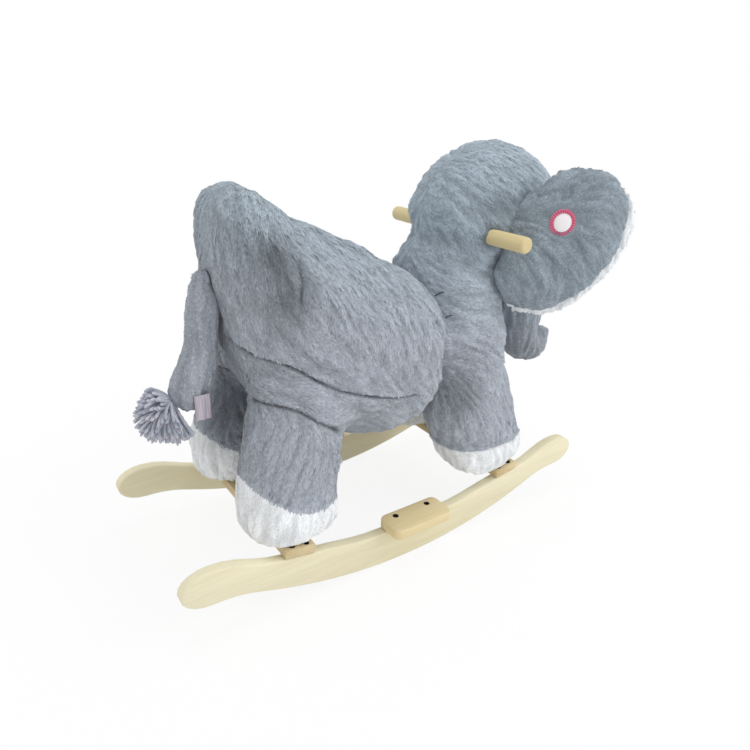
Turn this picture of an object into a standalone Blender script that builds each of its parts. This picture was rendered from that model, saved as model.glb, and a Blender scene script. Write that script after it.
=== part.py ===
# Plush rocking elephant: wooden runners, a wooden frame on them, and a stuffed plush animal over the frame.
# Units are metres, +Z up. +X is forward (the head), +Y is the animal's left side.
# Everything hangs on one empty, "toy", which puts the middle of the whole length at X = 0.
import math

import bmesh
import bpy
import numpy as np
from mathutils import Matrix, Vector
from mathutils.bvhtree import BVHTree

GAP = 0.0003  # clearance between pieces that touch

# Runners
RUNNER_LENGTH = 0.622
RUNNER_RADIUS = 0.637
RUNNER_THICKNESS = 0.015
RUNNER_TRACK = 0.256  # over the outer faces
RUNNER_DEPTH_MIDDLE = 0.050
RUNNER_DEPTH_AT_BOARD = 0.044
RUNNER_REST_FLAT = 0.030  # short flat under the middle, which the toy stands on
RUNNER_ARC_REACH = 0.215  # half length of the round underside
RUNNER_TIP_CLEARANCE = 0.0487  # height of the tip's underside
RUNNER_TIP_DEPTH = 0.0445
RUNNER_TIP_ROUND = 0.034
RUNNER_EDGE = 0.002

# Cross boards and footrests
BOARD_SPACING = 0.340
BOARD_WIDTH = 0.039
BOARD_THICKNESS = 0.012
BOARD_TILT = math.radians(8.5)
BOARD_EDGE = 0.0015
FOOTREST_LENGTH = 0.092
FOOTREST_WIDTH = 0.042
FOOTREST_THICKNESS = 0.014
FOOTREST_OVERHANG = 0.024
FOOTREST_CORNER = 0.009
FOOTREST_EDGE = 0.0025

# Wooden frame inside the plush
LEG_POST_SIZE = 0.028
LEG_POST_INSET = 0.007  # from the middle of its cross board, inwards
LEG_POST_Y = 0.055
SEAT_BOARD_BOTTOM = 0.262
SEAT_BOARD_THICKNESS = 0.015
SEAT_BOARD_END_MARGIN = 0.006  # past the leg tenons
SEAT_BOARD_SIDE_MARGIN = 0.005
SEAT_BOARD_CORNER = 0.010
NECK_POST_THICKNESS = 0.018
NECK_POST_WIDTH = 0.056
NECK_POST_ABOVE_HANDLE = 0.050
TENON_WIDTH = 0.038
LEG_TENON_SIZE = 0.014
SEAT_BOARD_EDGE = 0.0015

# Handle
HANDLE_DIAMETER = 0.0205
HANDLE_LENGTH = 0.266
HANDLE_X = 0.144
HANDLE_HEIGHT = 0.402
HANDLE_END_ROUND = 0.004

# Countersunk wood screws
SCREW_HEAD_RADIUS = 0.0042
SCREW_HEAD_DEPTH = 0.0028
SCREW_SHANK_RADIUS = 0.0020
SCREW_TIP = 0.004
SCREW_SUNK = 0.0004
SCREW_LENGTH = 0.034
BOARD_SCREW_SPACING = 0.019
FOOTREST_SCREW_SPACING = 0.052

# Sections of the stuffed pieces: x, z, half width, upper half, lower half, squareness.
# The body's heights are from the seat board's underside, and the head is measured from the handle's middle.
BODY_SECTIONS = (
    (-0.214, 0.158, 0.000, 0.000, 0.000, 2.3),
    (-0.206, 0.154, 0.056, 0.045, 0.050, 2.4),
    (-0.193, 0.142, 0.075, 0.066, 0.100, 2.5),
    (-0.175, 0.122, 0.089, 0.087, 0.134, 2.7),
    (-0.145, 0.096, 0.099, 0.096, 0.150, 2.7),
    (-0.100, 0.072, 0.107, 0.094, 0.162, 2.7),
    (-0.050, 0.048, 0.113, 0.097, 0.163, 2.7),
    (0.000, 0.026, 0.117, 0.093, 0.142, 2.8),
    (0.038, 0.015, 0.113, 0.078, 0.109, 2.9),
    (0.056, 0.011, 0.098, 0.062, 0.082, 2.7),
    (0.067, 0.008, 0.000, 0.000, 0.000, 2.4),
)
HEAD_SECTIONS = (
    (-0.063, 0.012, 0.000, 0.000, 0.000, 2.1),
    (-0.051, 0.011, 0.042, 0.048, 0.042, 2.1),
    (-0.023, 0.008, 0.062, 0.081, 0.066, 2.1),
    (0.017, 0.003, 0.078, 0.105, 0.084, 2.2),
    (0.064, -0.001, 0.085, 0.115, 0.092, 2.2),
    (0.111, -0.008, 0.081, 0.106, 0.088, 2.2),
    (0.153, -0.019, 0.067, 0.082, 0.073, 2.2),
    (0.179, -0.030, 0.046, 0.055, 0.050, 2.1),
    (0.191, -0.035, 0.000, 0.000, 0.000, 2.1),
)
# Sections that run down: x, y, z, half width across, half length fore and aft, squareness.
# The neck is measured from the handle's middle, and a leg from its post, with heights from the cross board's top.
NECK_SECTIONS = (
    (0.024, 0.0, 0.044, 0.000, 0.000, 2.2),
    (0.014, 0.0, 0.024, 0.044, 0.040, 2.2),
    (-0.008, 0.0, -0.017, 0.060, 0.061, 2.2),
    (-0.015, 0.0, -0.060, 0.076, 0.072, 2.3),
    (-0.011, 0.0, -0.102, 0.085, 0.079, 2.6),
    (-0.007, 0.0, -0.137, 0.091, 0.084, 3.0),
    (0.001, 0.0, -0.182, 0.090, 0.078, 2.6),
    (0.004, 0.0, -0.220, 0.070, 0.060, 2.2),
    (0.005, 0.0, -0.234, 0.000, 0.000, 2.2),
)
FRONT_LEG_SECTIONS = (
    (-0.031, 0.001, 0.191, 0.000, 0.000, 2.2),
    (-0.031, 0.002, 0.171, 0.036, 0.058, 2.2),
    (-0.032, 0.009, 0.126, 0.047, 0.071, 2.2),
    (-0.028, 0.016, 0.081, 0.052, 0.073, 2.3),
    (-0.013, 0.020, 0.039, 0.053, 0.071, 2.4),
    (-0.003, 0.021, 0.007, 0.046, 0.061, 2.4),
    (0.000, 0.021, -0.010, 0.000, 0.000, 2.4),
)
HIND_LEG_SECTIONS = (
    (0.029, 0.001, 0.227, 0.000, 0.000, 2.2),
    (0.025, 0.003, 0.199, 0.038, 0.048, 2.2),
    (0.019, 0.011, 0.141, 0.047, 0.061, 2.2),
    (0.009, 0.017, 0.086, 0.051, 0.065, 2.3),
    (0.006, 0.020, 0.041, 0.051, 0.062, 2.4),
    (0.007, 0.021, 0.010, 0.045, 0.055, 2.4),
    (0.008, 0.021, -0.006, 0.000, 0.000, 2.4),
)
FRONT_CUFF_HEIGHT = 0.040
FRONT_CUFF_SLOPE = 0.0
HIND_CUFF_HEIGHT = 0.059
HIND_CUFF_SLOPE = math.radians(20)

# Trunk, tail and tassel: x, z along the middle line, half width, half depth.
# The trunk is measured from the handle's middle.
TRUNK_SECTIONS = (
    (0.096, 0.028, 0.000, 0.000),
    (0.114, 0.008, 0.049, 0.047),
    (0.142, -0.040, 0.051, 0.050),
    (0.152, -0.099, 0.046, 0.046),
    (0.150, -0.159, 0.042, 0.036),
    (0.159, -0.191, 0.040, 0.031),
    (0.181, -0.204, 0.036, 0.029),
    (0.196, -0.194, 0.031, 0.025),
    (0.203, -0.169, 0.025, 0.020),
)
NOSTRIL_RADIUS = 0.012
NOSTRIL_DEPTH = 0.008
TAIL_ROOT_HEIGHT = 0.116  # over the seat board's underside
TAIL_ROOT_RADIUS = 0.010
TAIL_SECTIONS = (  # measured from the root's centre
    (0.000, 0.010, 0.000, 0.000),
    (0.000, 0.000, 0.010, 0.010),
    (-0.002, -0.038, 0.018, 0.018),
    (-0.007, -0.080, 0.021, 0.020),
    (-0.015, -0.108, 0.024, 0.023),
    (-0.025, -0.130, 0.025, 0.024),
    (-0.031, -0.142, 0.019, 0.018),
    (-0.034, -0.150, 0.000, 0.000),
)
TASSEL_SECTIONS = (  # measured from the tail's root too, with the knot inside the tail's end
    (-0.0390, -0.1300, 0.000, 0.000),
    (-0.0415, -0.1345, 0.006, 0.006),
    (-0.0450, -0.1420, 0.013, 0.013),
    (-0.0495, -0.1530, 0.027, 0.027),
    (-0.0540, -0.1660, 0.035, 0.035),
    (-0.0580, -0.1790, 0.029, 0.029),
    (-0.0600, -0.1860, 0.000, 0.000),
)
LABEL_WIDTH = 0.018
LABEL_LENGTH = 0.031
LABEL_THICKNESS = 0.0012
LABEL_PLACE = (-0.0165, -0.0225, -0.128)  # middle of its sewn edge, from the tail's root

# Ears, on a plane that stands out from the head
EAR_SWEEP = math.radians(30)  # from straight ahead, seen from above
EAR_BASE = (0.028, 0.082, -0.002)  # from the handle's middle; the ear's upright hinge line goes through it
EAR_OUTLINE = (  # out from the base, up from the base
    (-0.022, -0.008),
    (-0.020, -0.045),
    (-0.004, -0.080),
    (0.027, -0.098),
    (0.062, -0.095),
    (0.097, -0.076),
    (0.130, -0.042),
    (0.151, 0.000),
    (0.154, 0.042),
    (0.132, 0.077),
    (0.092, 0.090),
    (0.054, 0.084),
    (0.024, 0.062),
    (-0.004, 0.028),
)
EAR_BACK_THICKNESS = 0.018
EAR_LINING_THICKNESS = 0.008
EAR_CUP = 0.010
EAR_CENTRE = (0.062, -0.005)
EAR_RADIUS = 0.095
EAR_REACH = math.radians(16)  # how far an ear bends back
LINING_SCALE = 1.03
LINING_SHIFT = (0.012, -0.009)

# Sound module in the right ear, measured along the ear's normal
MODULE_PLACE = (0.057, 0.024)
MODULE_FLOOR_OFFSET = 0.0015
CASE_RADIUS = 0.0170
CASE_WALL = 0.0014
CASE_FLOOR = 0.0014
SPEAKER_MARGIN = 0.0021  # to the case's wall
SPEAKER_HEIGHT = 0.0025
CELL_RADIUS = 0.0100
CELL_HEIGHT = 0.0032
CIRCUIT_BOARD_HEIGHT = 0.0010
SPRING_RADIUS = 0.0060
SPRING_WIRE = 0.0004
SPRING_PRESSED = 0.0022  # its height with the cap pressed right in
SPRING_TURNS = 3
CAP_RADIUS = 0.0118
CAP_FLANGE = 0.0010
CAP_FLANGE_MARGIN = 0.0011  # to the case's wall
CAP_RISE = 0.0022
CAP_TRAVEL = 0.0020
RING_HEIGHT = 0.0010

# Eyes
EYE_RADIUS = 0.0075
EYE_HEIGHT = 0.0050
EYE_SHANK_RADIUS = 0.0020
EYE_SHANK_LENGTH = 0.012
EYE_PLACE = (0.131, 0.023)  # forward and up from the handle's middle

BODY_SIDES = 28
HEAD_SIDES = 20
LEG_SIDES = 16
SMALL_SIDES = 12

PINE = ((0.86, 0.74, 0.50), 0.55, 0.0)
BOARD_PINE = ((0.84, 0.68, 0.46), 0.6, 0.0)
PLUSH_GREY = ((0.33, 0.37, 0.41), 0.95, 0.0)
PLUSH_WHITE = ((0.86, 0.88, 0.90), 0.95, 0.0)
YARN = ((0.42, 0.44, 0.53), 0.9, 0.0)
RIBBON = ((0.90, 0.88, 0.90), 0.8, 0.0)
DARK_STEEL = ((0.10, 0.09, 0.08), 0.4, 0.9)
STEEL = ((0.60, 0.60, 0.60), 0.3, 1.0)
BLACK = ((0.01, 0.01, 0.01), 0.1, 0.0)
CASE_WHITE = ((0.80, 0.80, 0.80), 0.4, 0.0)
PINK = ((0.80, 0.16, 0.27), 0.8, 0.0)
BOARD_GREEN = ((0.05, 0.25, 0.10), 0.5, 0.0)

ENDS = ((1, "front"), (-1, "rear"))
SIDES = ((1, "left"), (-1, "right"))

for old in list(bpy.data.objects):
    bpy.data.objects.remove(old)

toy = bpy.data.objects.new("toy", None)
bpy.context.scene.collection.objects.link(toy)


def material(name, finish):
    colour, roughness, metallic = finish
    made = bpy.data.materials.new(name)
    made.use_nodes = True
    shader = made.node_tree.nodes["Principled BSDF"]
    shader.inputs["Base Color"].default_value = (*colour, 1.0)
    shader.inputs["Roughness"].default_value = roughness
    shader.inputs["Metallic"].default_value = metallic
    return made


def add_object(name, data, parent=None):
    made = bpy.data.objects.new(name, data)
    bpy.context.scene.collection.objects.link(made)
    made.parent = parent or toy
    return made


def mesh_from(bm, name):
    bmesh.ops.recalc_face_normals(bm, faces=bm.faces)
    if bm.calc_volume(signed=True) < 0:
        bmesh.ops.reverse_faces(bm, faces=bm.faces)
    mesh = bpy.data.meshes.new(name)
    bm.to_mesh(mesh)
    bm.free()
    return mesh


def piece(name, bm, finish, parent=None, smooth=True):
    mesh = mesh_from(bm, name)
    mesh.materials.append(material(name, finish))
    if smooth:
        mesh.shade_smooth()
        mesh.set_sharp_from_angle(angle=math.radians(40))
    return add_object(name, mesh, parent)


def cutter(name, bm, parent=None):
    made = add_object(name + "_cutter", mesh_from(bm, name + "_cutter"), parent)
    made.hide_render = True
    made.display_type = "WIRE"
    return made


def cut(target, *tools):
    for tool in tools:
        modifier = target.modifiers.new("cut by " + tool.name, "BOOLEAN")
        modifier.object = tool
        modifier.operation = "DIFFERENCE"
        modifier.solver = "EXACT"


def round_edges(target, width, segments=2, angle=50):
    modifier = target.modifiers.new("edges", "BEVEL")
    modifier.width = width
    modifier.segments = segments
    modifier.limit_method = "ANGLE"
    modifier.angle_limit = math.radians(angle)


# A box between two corners.
def box(low, high):
    bm = bmesh.new()
    size = Vector(high) - Vector(low)
    middle = (Vector(high) + Vector(low)) / 2
    place = Matrix.Translation(middle) @ Matrix.Diagonal((*size, 1.0))
    bmesh.ops.create_cube(bm, size=1.0, matrix=place)
    return bm


# A closed outline given as points, extruded by a vector.
def extruded(points, along):
    bm = bmesh.new()
    face = bm.faces.new([bm.verts.new(point) for point in points])
    grown = bmesh.ops.extrude_face_region(bm, geom=[face])
    moved = [item for item in grown["geom"] if isinstance(item, bmesh.types.BMVert)]
    bmesh.ops.translate(bm, verts=moved, vec=along)
    return bm


# The profile of a plain cylinder.
def rod_profile(radius, low, high):
    return [(0.0, low), (radius, low), (radius, high), (0.0, high)]


# A profile of (radius, height) points, turned round the Z axis.
def turned(profile, sides):
    bm = bmesh.new()
    line = [bm.verts.new((radius, 0.0, height)) for radius, height in profile]
    edges = [bm.edges.new(pair) for pair in zip(line, line[1:])]
    bmesh.ops.spin(
        bm,
        geom=line + edges,
        axis=(0, 0, 1),
        cent=(0, 0, 0),
        angle=math.tau,
        steps=sides,
        use_duplicate=False,
    )
    bmesh.ops.remove_doubles(bm, verts=bm.verts, dist=1e-6)
    return bm


def merged(parts):
    bm = bmesh.new()
    for part, place in parts:
        part.transform(place)
        scratch = bpy.data.meshes.new("scratch")
        part.to_mesh(scratch)
        part.free()
        bm.from_mesh(scratch)
        bpy.data.meshes.remove(scratch)
    return bm


# Smooth rows between the given ones: a Catmull-Rom curve through each column.
def smooth_rows(rows, steps):
    rows = np.array(rows, float)
    ends = np.vstack([2 * rows[0] - rows[1], rows, 2 * rows[-1] - rows[-2]])
    out = []
    for i in range(len(rows) - 1):
        a, b, c, d = ends[i : i + 4]
        slope = 0.5 * (c - a)
        square = a - 2.5 * b + 2 * c - 0.5 * d
        cube = 0.5 * (3 * b - a - 3 * c + d)
        for t in np.arange(steps) / steps:
            out.append(b + slope * t + square * t**2 + cube * t**3)
    out.append(rows[-1])
    return np.array(out)


# The closed curve through a ring of points.
def smooth_ring(points, steps):
    wrapped = [points[-1], *points, points[0], points[1]]
    rows = smooth_rows(wrapped, steps)
    return rows[steps : steps * (len(points) + 1)]


# Stuffed form: rings across a middle line. Half sizes are smoothed as squares, so both ends come out round.
# middle: points. across, up: half sizes along Y and along the ring's own upright. down: the same below.
# upright: the same for all rings, or None where each ring is square to the middle line.
def stuffed(middle, across, up, down, power, sides, steps, upright=None, flat_end=False):
    rows = np.column_stack(
        [middle, np.square(across), np.square(up), np.square(down), power]
    )
    rows = smooth_rows(rows, steps)
    centre = rows[:, :3]
    across, up, down = np.sqrt(np.maximum(rows[:, 3:6], 0)).T
    power = rows[:, 6]
    side = np.array([0.0, 1.0, 0.0])
    if upright is None:
        upright = np.cross(np.gradient(centre, axis=0), side)
        upright /= np.linalg.norm(upright, axis=1)[:, None]
    else:
        upright = np.tile(upright, (len(centre), 1))
    angles = np.arange(sides) / sides * math.tau
    bm = bmesh.new()
    rings = []
    last = len(centre) - 1 if not flat_end else len(centre)
    for i in range(1, last):
        c = np.sign(np.cos(angles)) * np.abs(np.cos(angles)) ** (2 / power[i])
        s = np.sign(np.sin(angles)) * np.abs(np.sin(angles)) ** (2 / power[i])
        lift = np.where(s > 0, up[i], down[i]) * s
        points = centre[i] + across[i] * c[:, None] * side + lift[:, None] * upright[i]
        rings.append([bm.verts.new(point) for point in points])
    first = bm.verts.new(centre[0])
    for a, b in zip(rings, rings[1:]):
        for k in range(sides):
            bm.faces.new((a[k], a[(k + 1) % sides], b[(k + 1) % sides]))
            bm.faces.new((a[k], b[(k + 1) % sides], b[k]))
    for k in range(sides):
        bm.faces.new((first, rings[0][(k + 1) % sides], rings[0][k]))
    if flat_end:
        bm.faces.new(rings[-1])
    else:
        end = bm.verts.new(centre[-1])
        for k in range(sides):
            bm.faces.new((end, rings[-1][k], rings[-1][(k + 1) % sides]))
    return bm


# The same rows of sections, moved: the first columns are places.
def moved(sections, *shift):
    rows = np.array(sections)
    rows[:, : len(shift)] += shift
    return rows


# A form that runs forward, from rows of x, z, half width, upper half, lower half, squareness.
def forward_form(rows, sides, steps, grow=0.0):
    middle = np.column_stack([rows[:, 0], np.zeros(len(rows)), rows[:, 1]])
    middle[0, 0] -= grow
    middle[-1, 0] += grow
    across, up, down = np.where(rows[:, 2:5] > 0, rows[:, 2:5] + grow, 0.0).T
    return stuffed(middle, across, up, down, rows[:, 5], sides, steps, (0.0, 0.0, 1.0))


# A form that runs down, from rows of x, y, z, half width, half length, squareness.
def standing_form(rows, sides, steps, mirror=1, grow=0.0):
    middle = rows[:, :3] * (1, mirror, 1)
    middle[0, 2] += grow
    middle[-1, 2] -= grow
    across, along = np.where(rows[:, 3:5] > 0, rows[:, 3:5] + grow, 0.0).T
    return stuffed(middle, across, along, along, rows[:, 5], sides, steps, (1.0, 0.0, 0.0))


# A round form along a line in the XZ plane, from rows of x, z, half width, half depth.
def hanging_form(rows, sides, steps, grow=0.0, flat_end=False):
    middle = np.column_stack([rows[:, 0], np.zeros(len(rows)), rows[:, 1]])
    for tip, inner in ((0, 1), (-1, -2)):
        way = middle[tip] - middle[inner]
        middle[tip] += way * (grow / np.linalg.norm(way))
    across, deep = np.where(rows[:, 2:4] > 0, rows[:, 2:4] + grow, 0.0).T
    power = np.full(len(rows), 2.0)
    return stuffed(middle, across, deep, deep, power, sides, steps, flat_end=flat_end)


def bezier(start, start_way, end, end_way, count):
    start, end = np.array(start), np.array(end)
    reach = 0.4 * np.linalg.norm(end - start)
    a = start + reach * np.array(start_way)
    b = end - reach * np.array(end_way)
    t = (np.arange(1, count + 1) / count)[:, None]
    return (1 - t) ** 3 * start + 3 * (1 - t) ** 2 * t * a + 3 * (1 - t) * t**2 * b + t**3 * end


def runner_underside(x):
    return RUNNER_RADIUS - math.sqrt(RUNNER_RADIUS**2 - x**2)


board_x = BOARD_SPACING / 2
board_seat = runner_underside(board_x) + RUNNER_DEPTH_AT_BOARD
board_top = board_seat + BOARD_THICKNESS
tilt_way = np.array([math.cos(BOARD_TILT), math.sin(BOARD_TILT)])
post_x = board_x - LEG_POST_INSET
seat_board_top = SEAT_BOARD_BOTTOM + SEAT_BOARD_THICKNESS


# Half of the runner's outline, from the middle of the underside round the tip to the middle of the top.
def runner_half():
    flat = RUNNER_REST_FLAT / 2
    sole = runner_underside(flat)
    points = [(x, runner_underside(x) - sole) for x in np.linspace(flat, RUNNER_ARC_REACH, 12)]
    slope = np.array([math.sqrt(RUNNER_RADIUS**2 - RUNNER_ARC_REACH**2), RUNNER_ARC_REACH]) / RUNNER_RADIUS
    nose = RUNNER_LENGTH / 2
    tip_low = (nose - RUNNER_TIP_ROUND, RUNNER_TIP_CLEARANCE)
    tip_middle = RUNNER_TIP_CLEARANCE + RUNNER_TIP_DEPTH / 2
    points += list(bezier(points[-1], slope, tip_low, (1, 0), 5))
    for turn in np.linspace(-math.pi / 2, math.pi / 2, 11)[1:]:
        x = tip_low[0] + RUNNER_TIP_ROUND * math.cos(turn)
        points.append((x, tip_middle + RUNNER_TIP_DEPTH / 2 * math.sin(turn)))
    seat_half = BOARD_WIDTH / 2 + RUNNER_EDGE
    seat = np.array([board_x, board_seat])
    outer, inner = seat + seat_half * tilt_way, seat - seat_half * tilt_way
    points += list(bezier(points[-1], (-1, 0), outer, -tilt_way, 6))
    points.append(inner)
    rest_end = (FOOTREST_LENGTH / 2 + RUNNER_EDGE, RUNNER_DEPTH_MIDDLE)
    points += list(bezier(inner, -tilt_way, rest_end, (-1, 0), 5))
    return [tuple(point) for point in points]


def runner(name, side):
    half = runner_half()
    outline = half + [(-x, z) for x, z in reversed(half)]
    outer = side * RUNNER_TRACK / 2
    made = extruded([(x, outer, z) for x, z in outline], (0, -side * RUNNER_THICKNESS, 0))
    made = piece(name, made, PINE)
    round_edges(made, RUNNER_EDGE)
    return made


# Where a cross board lies: its own Z is square to its faces. end is 1 at the front and -1 at the rear.
def board_place(end):
    turn = Matrix.Rotation(-end * BOARD_TILT, 4, "Y")
    return Matrix.Translation((end * board_x, 0, board_seat)) @ turn


def cross_board(name, end, grow=0.0):
    half_width, half_length = BOARD_WIDTH / 2 + grow, RUNNER_TRACK / 2 + grow
    low, high = GAP - grow, GAP + BOARD_THICKNESS + grow
    bm = box((-half_width, -half_length, low), (half_width, half_length, high))
    bm.transform(board_place(end))
    if grow:
        return cutter(name, bm)
    made = piece(name, bm, BOARD_PINE, smooth=False)
    round_edges(made, BOARD_EDGE)
    return made


runner_centre_y = RUNNER_TRACK / 2 - RUNNER_THICKNESS / 2


def footrest(name, side):
    outer = RUNNER_TRACK / 2 + FOOTREST_OVERHANG
    inner = outer - FOOTREST_WIDTH
    low = RUNNER_DEPTH_MIDDLE + GAP
    half = FOOTREST_LENGTH / 2
    points = []
    corners = ((half, outer, 0), (-half, outer, 90), (-half, inner, 180), (half, inner, 270))
    for x, y, start in corners:
        centre_x = x - math.copysign(FOOTREST_CORNER, x)
        centre_y = y - (FOOTREST_CORNER if y == outer else -FOOTREST_CORNER)
        for step in range(6):
            turn = math.radians(start + 90 * step / 5)
            reach_x, reach_y = FOOTREST_CORNER * math.cos(turn), FOOTREST_CORNER * math.sin(turn)
            points.append((centre_x + reach_x, side * (centre_y + reach_y), low))
    made = piece(name, extruded(points, (0, 0, FOOTREST_THICKNESS)), BOARD_PINE)
    round_edges(made, FOOTREST_EDGE)
    return made


# One countersunk screw, its head's top at Z = 0, pointing down.
def screw(length, grow=0.0):
    head, shank = SCREW_HEAD_RADIUS + grow, SCREW_SHANK_RADIUS + grow
    depth = SCREW_HEAD_DEPTH + grow
    top = SCREW_SUNK + GAP if grow else 0.0
    profile = [(0.0, top), (head, top), (head, 0.0)]
    profile += [(shank, -depth), (shank, SCREW_TIP - length), (0.0, -length - grow)]
    if not grow:
        profile.pop(1)
    return turned(profile, 8)


# One screw object for each place, and one cutter with all their holes.
def screws(kind, places, finish=DARK_STEEL):
    for name, place in places.items():
        bm = screw(SCREW_LENGTH)
        bm.transform(place)
        piece(f"{kind}_screw_{name}", bm, finish)
    holes = [(screw(SCREW_LENGTH, GAP), place) for place in places.values()]
    return cutter(kind + "_screw_holes", merged(holes))


def board_screw_places():
    places = {}
    for end, end_name in ENDS:
        for side, side_name in SIDES:
            for step, step_name in ((-0.5, "a"), (0.5, "b")):
                height = GAP + BOARD_THICKNESS - SCREW_SUNK
                local = (step * BOARD_SCREW_SPACING, side * runner_centre_y, height)
                place = board_place(end) @ Matrix.Translation(local)
                places[f"{end_name}_{side_name}_{step_name}"] = place
    return places


def footrest_screw_places():
    places = {}
    top = RUNNER_DEPTH_MIDDLE + GAP + FOOTREST_THICKNESS - SCREW_SUNK
    for side, side_name in SIDES:
        for step, step_name in ((-0.5, "a"), (0.5, "b")):
            spot = (step * FOOTREST_SCREW_SPACING, side * runner_centre_y, top)
            places[f"{side_name}_{step_name}"] = Matrix.Translation(spot)
    return places


# The screws that come up through the cross boards into the legs.
def leg_screw_places():
    places = {}
    upside_down = Matrix.Rotation(math.pi, 4, "X")
    for end, end_name in ENDS:
        for side, side_name in SIDES:
            x = -LEG_POST_INSET * end / math.cos(BOARD_TILT)
            place = board_place(end) @ Matrix.Translation((x, side * LEG_POST_Y, GAP + SCREW_SUNK))
            places[f"{end_name}_{side_name}"] = place @ upside_down
    return places


# A leg post, slanted at its foot to stand on the cross board, with a square tenon at the top.
def leg_post(name, end, side, grow=0.0):
    half, tenon = LEG_POST_SIZE / 2, LEG_TENON_SIZE / 2
    x, y = end * post_x, side * LEG_POST_Y
    shoulder = SEAT_BOARD_BOTTOM - GAP
    bm = box((x - half, y - half, 0.0), (x + half, y + half, shoulder))
    upper = max(bm.faces, key=lambda face: face.calc_center_median().z)
    bmesh.ops.inset_region(bm, faces=[upper], thickness=half - tenon, use_even_offset=True)
    grown = bmesh.ops.extrude_face_region(bm, geom=[upper])
    raised = [item for item in grown["geom"] if isinstance(item, bmesh.types.BMVert)]
    bmesh.ops.translate(bm, verts=raised, vec=(0, 0, seat_board_top - shoulder))
    bmesh.ops.delete(bm, geom=[upper], context="FACES")
    place = board_place(end)
    on_board = place @ Vector((0, 0, GAP + BOARD_THICKNESS + GAP))
    square_to_board = place.to_3x3() @ Vector((0, 0, 1))
    everything = list(bm.verts) + list(bm.edges) + list(bm.faces)
    bmesh.ops.bisect_plane(
        bm, geom=everything, plane_co=on_board, plane_no=square_to_board, clear_inner=True
    )
    bmesh.ops.holes_fill(bm, edges=bm.edges)
    return piece(name, bm, PINE, smooth=False)


# The room that a leg post takes: its shaft in the plush, and its tenon in the seat board.
def leg_post_room(name, end, side):
    half, tenon = LEG_POST_SIZE / 2 + GAP, LEG_TENON_SIZE / 2 + GAP
    x, y = end * post_x, side * LEG_POST_Y
    shaft = box((x - half, y - half, 0.0), (x + half, y + half, SEAT_BOARD_BOTTOM + GAP))
    peg_low, peg_high = SEAT_BOARD_BOTTOM - 2 * GAP, seat_board_top + 2 * GAP
    peg = box((x - tenon, y - tenon, peg_low), (x + tenon, y + tenon, peg_high))
    return cutter(name, shaft), cutter(name + "_tenon", peg)


def seat_board(name, grow=0.0):
    front = post_x + LEG_TENON_SIZE / 2 + SEAT_BOARD_END_MARGIN + grow
    half = LEG_POST_Y + LEG_TENON_SIZE / 2 + SEAT_BOARD_SIDE_MARGIN + grow
    rear = -front
    points = []
    corners = ((front, half, 0), (rear, half, 90), (rear, -half, 180), (front, -half, 270))
    for x, y, start in corners:
        centre_x = x - math.copysign(SEAT_BOARD_CORNER, x)
        centre_y = y - math.copysign(SEAT_BOARD_CORNER, y)
        for step in range(5):
            turn = math.radians(start + 90 * step / 4)
            reach_x, reach_y = SEAT_BOARD_CORNER * math.cos(turn), SEAT_BOARD_CORNER * math.sin(turn)
            points.append((centre_x + reach_x, centre_y + reach_y, SEAT_BOARD_BOTTOM - grow))
    bm = extruded(points, (0, 0, SEAT_BOARD_THICKNESS + 2 * grow))
    if grow:
        return cutter(name, bm)
    made = piece(name, bm, PINE)
    round_edges(made, SEAT_BOARD_EDGE)
    return made


# The upright that carries the handle, with a tenon that goes through the seat board.
def neck_post(name, grow=0.0):
    half = NECK_POST_WIDTH / 2 + grow
    tenon = TENON_WIDTH / 2 + grow
    shoulder = seat_board_top + (GAP if not grow else -GAP)
    foot = SEAT_BOARD_BOTTOM - grow
    round_centre = HANDLE_HEIGHT + NECK_POST_ABOVE_HANDLE - NECK_POST_WIDTH / 2
    points = [(HANDLE_X - tenon, foot), (HANDLE_X + tenon, foot)]
    points += [(HANDLE_X + tenon, shoulder), (HANDLE_X + half, shoulder)]
    for turn in np.linspace(0, math.pi, 13):
        points.append((HANDLE_X + half * math.cos(turn), round_centre + half * math.sin(turn)))
    points += [(HANDLE_X - half, shoulder), (HANDLE_X - tenon, shoulder)]
    depth = NECK_POST_THICKNESS / 2 + grow
    bm = extruded([(x, -depth, z) for x, z in points], (0, 2 * depth, 0))
    if grow:
        return cutter(name, bm)
    return piece(name, bm, PINE, smooth=False)


def handle(name, grow=0.0):
    radius, half = HANDLE_DIAMETER / 2, HANDLE_LENGTH / 2
    if grow:
        profile = rod_profile(radius + grow, -half - grow, half + grow)
    else:
        profile = [(0.0, half)]
        for turn in np.linspace(0, math.pi / 2, 5):
            out = radius + HANDLE_END_ROUND * (math.sin(turn) - 1)
            profile.append((out, half + HANDLE_END_ROUND * (math.cos(turn) - 1)))
        profile += [(r, -z) for r, z in reversed(profile)]
    bm = turned(profile, 20)
    bm.transform(Matrix.Translation((HANDLE_X, 0, HANDLE_HEIGHT)) @ Matrix.Rotation(math.pi / 2, 4, "X"))
    if grow:
        return cutter(name, bm)
    return piece(name, bm, PINE)


# Splits a leg's form at the slanted top of its white foot.
def leg_half(bm, x, height, slope, upper, grow=GAP / 2):
    normal = Vector((math.sin(slope), 0, math.cos(slope)))
    point = Vector((x, 0, height)) + (grow if upper else -grow) * normal
    everything = list(bm.verts) + list(bm.edges) + list(bm.faces)
    bmesh.ops.bisect_plane(
        bm, geom=everything, plane_co=point, plane_no=normal, clear_inner=upper, clear_outer=not upper
    )
    bmesh.ops.holes_fill(bm, edges=bm.edges)
    return bm


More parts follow.
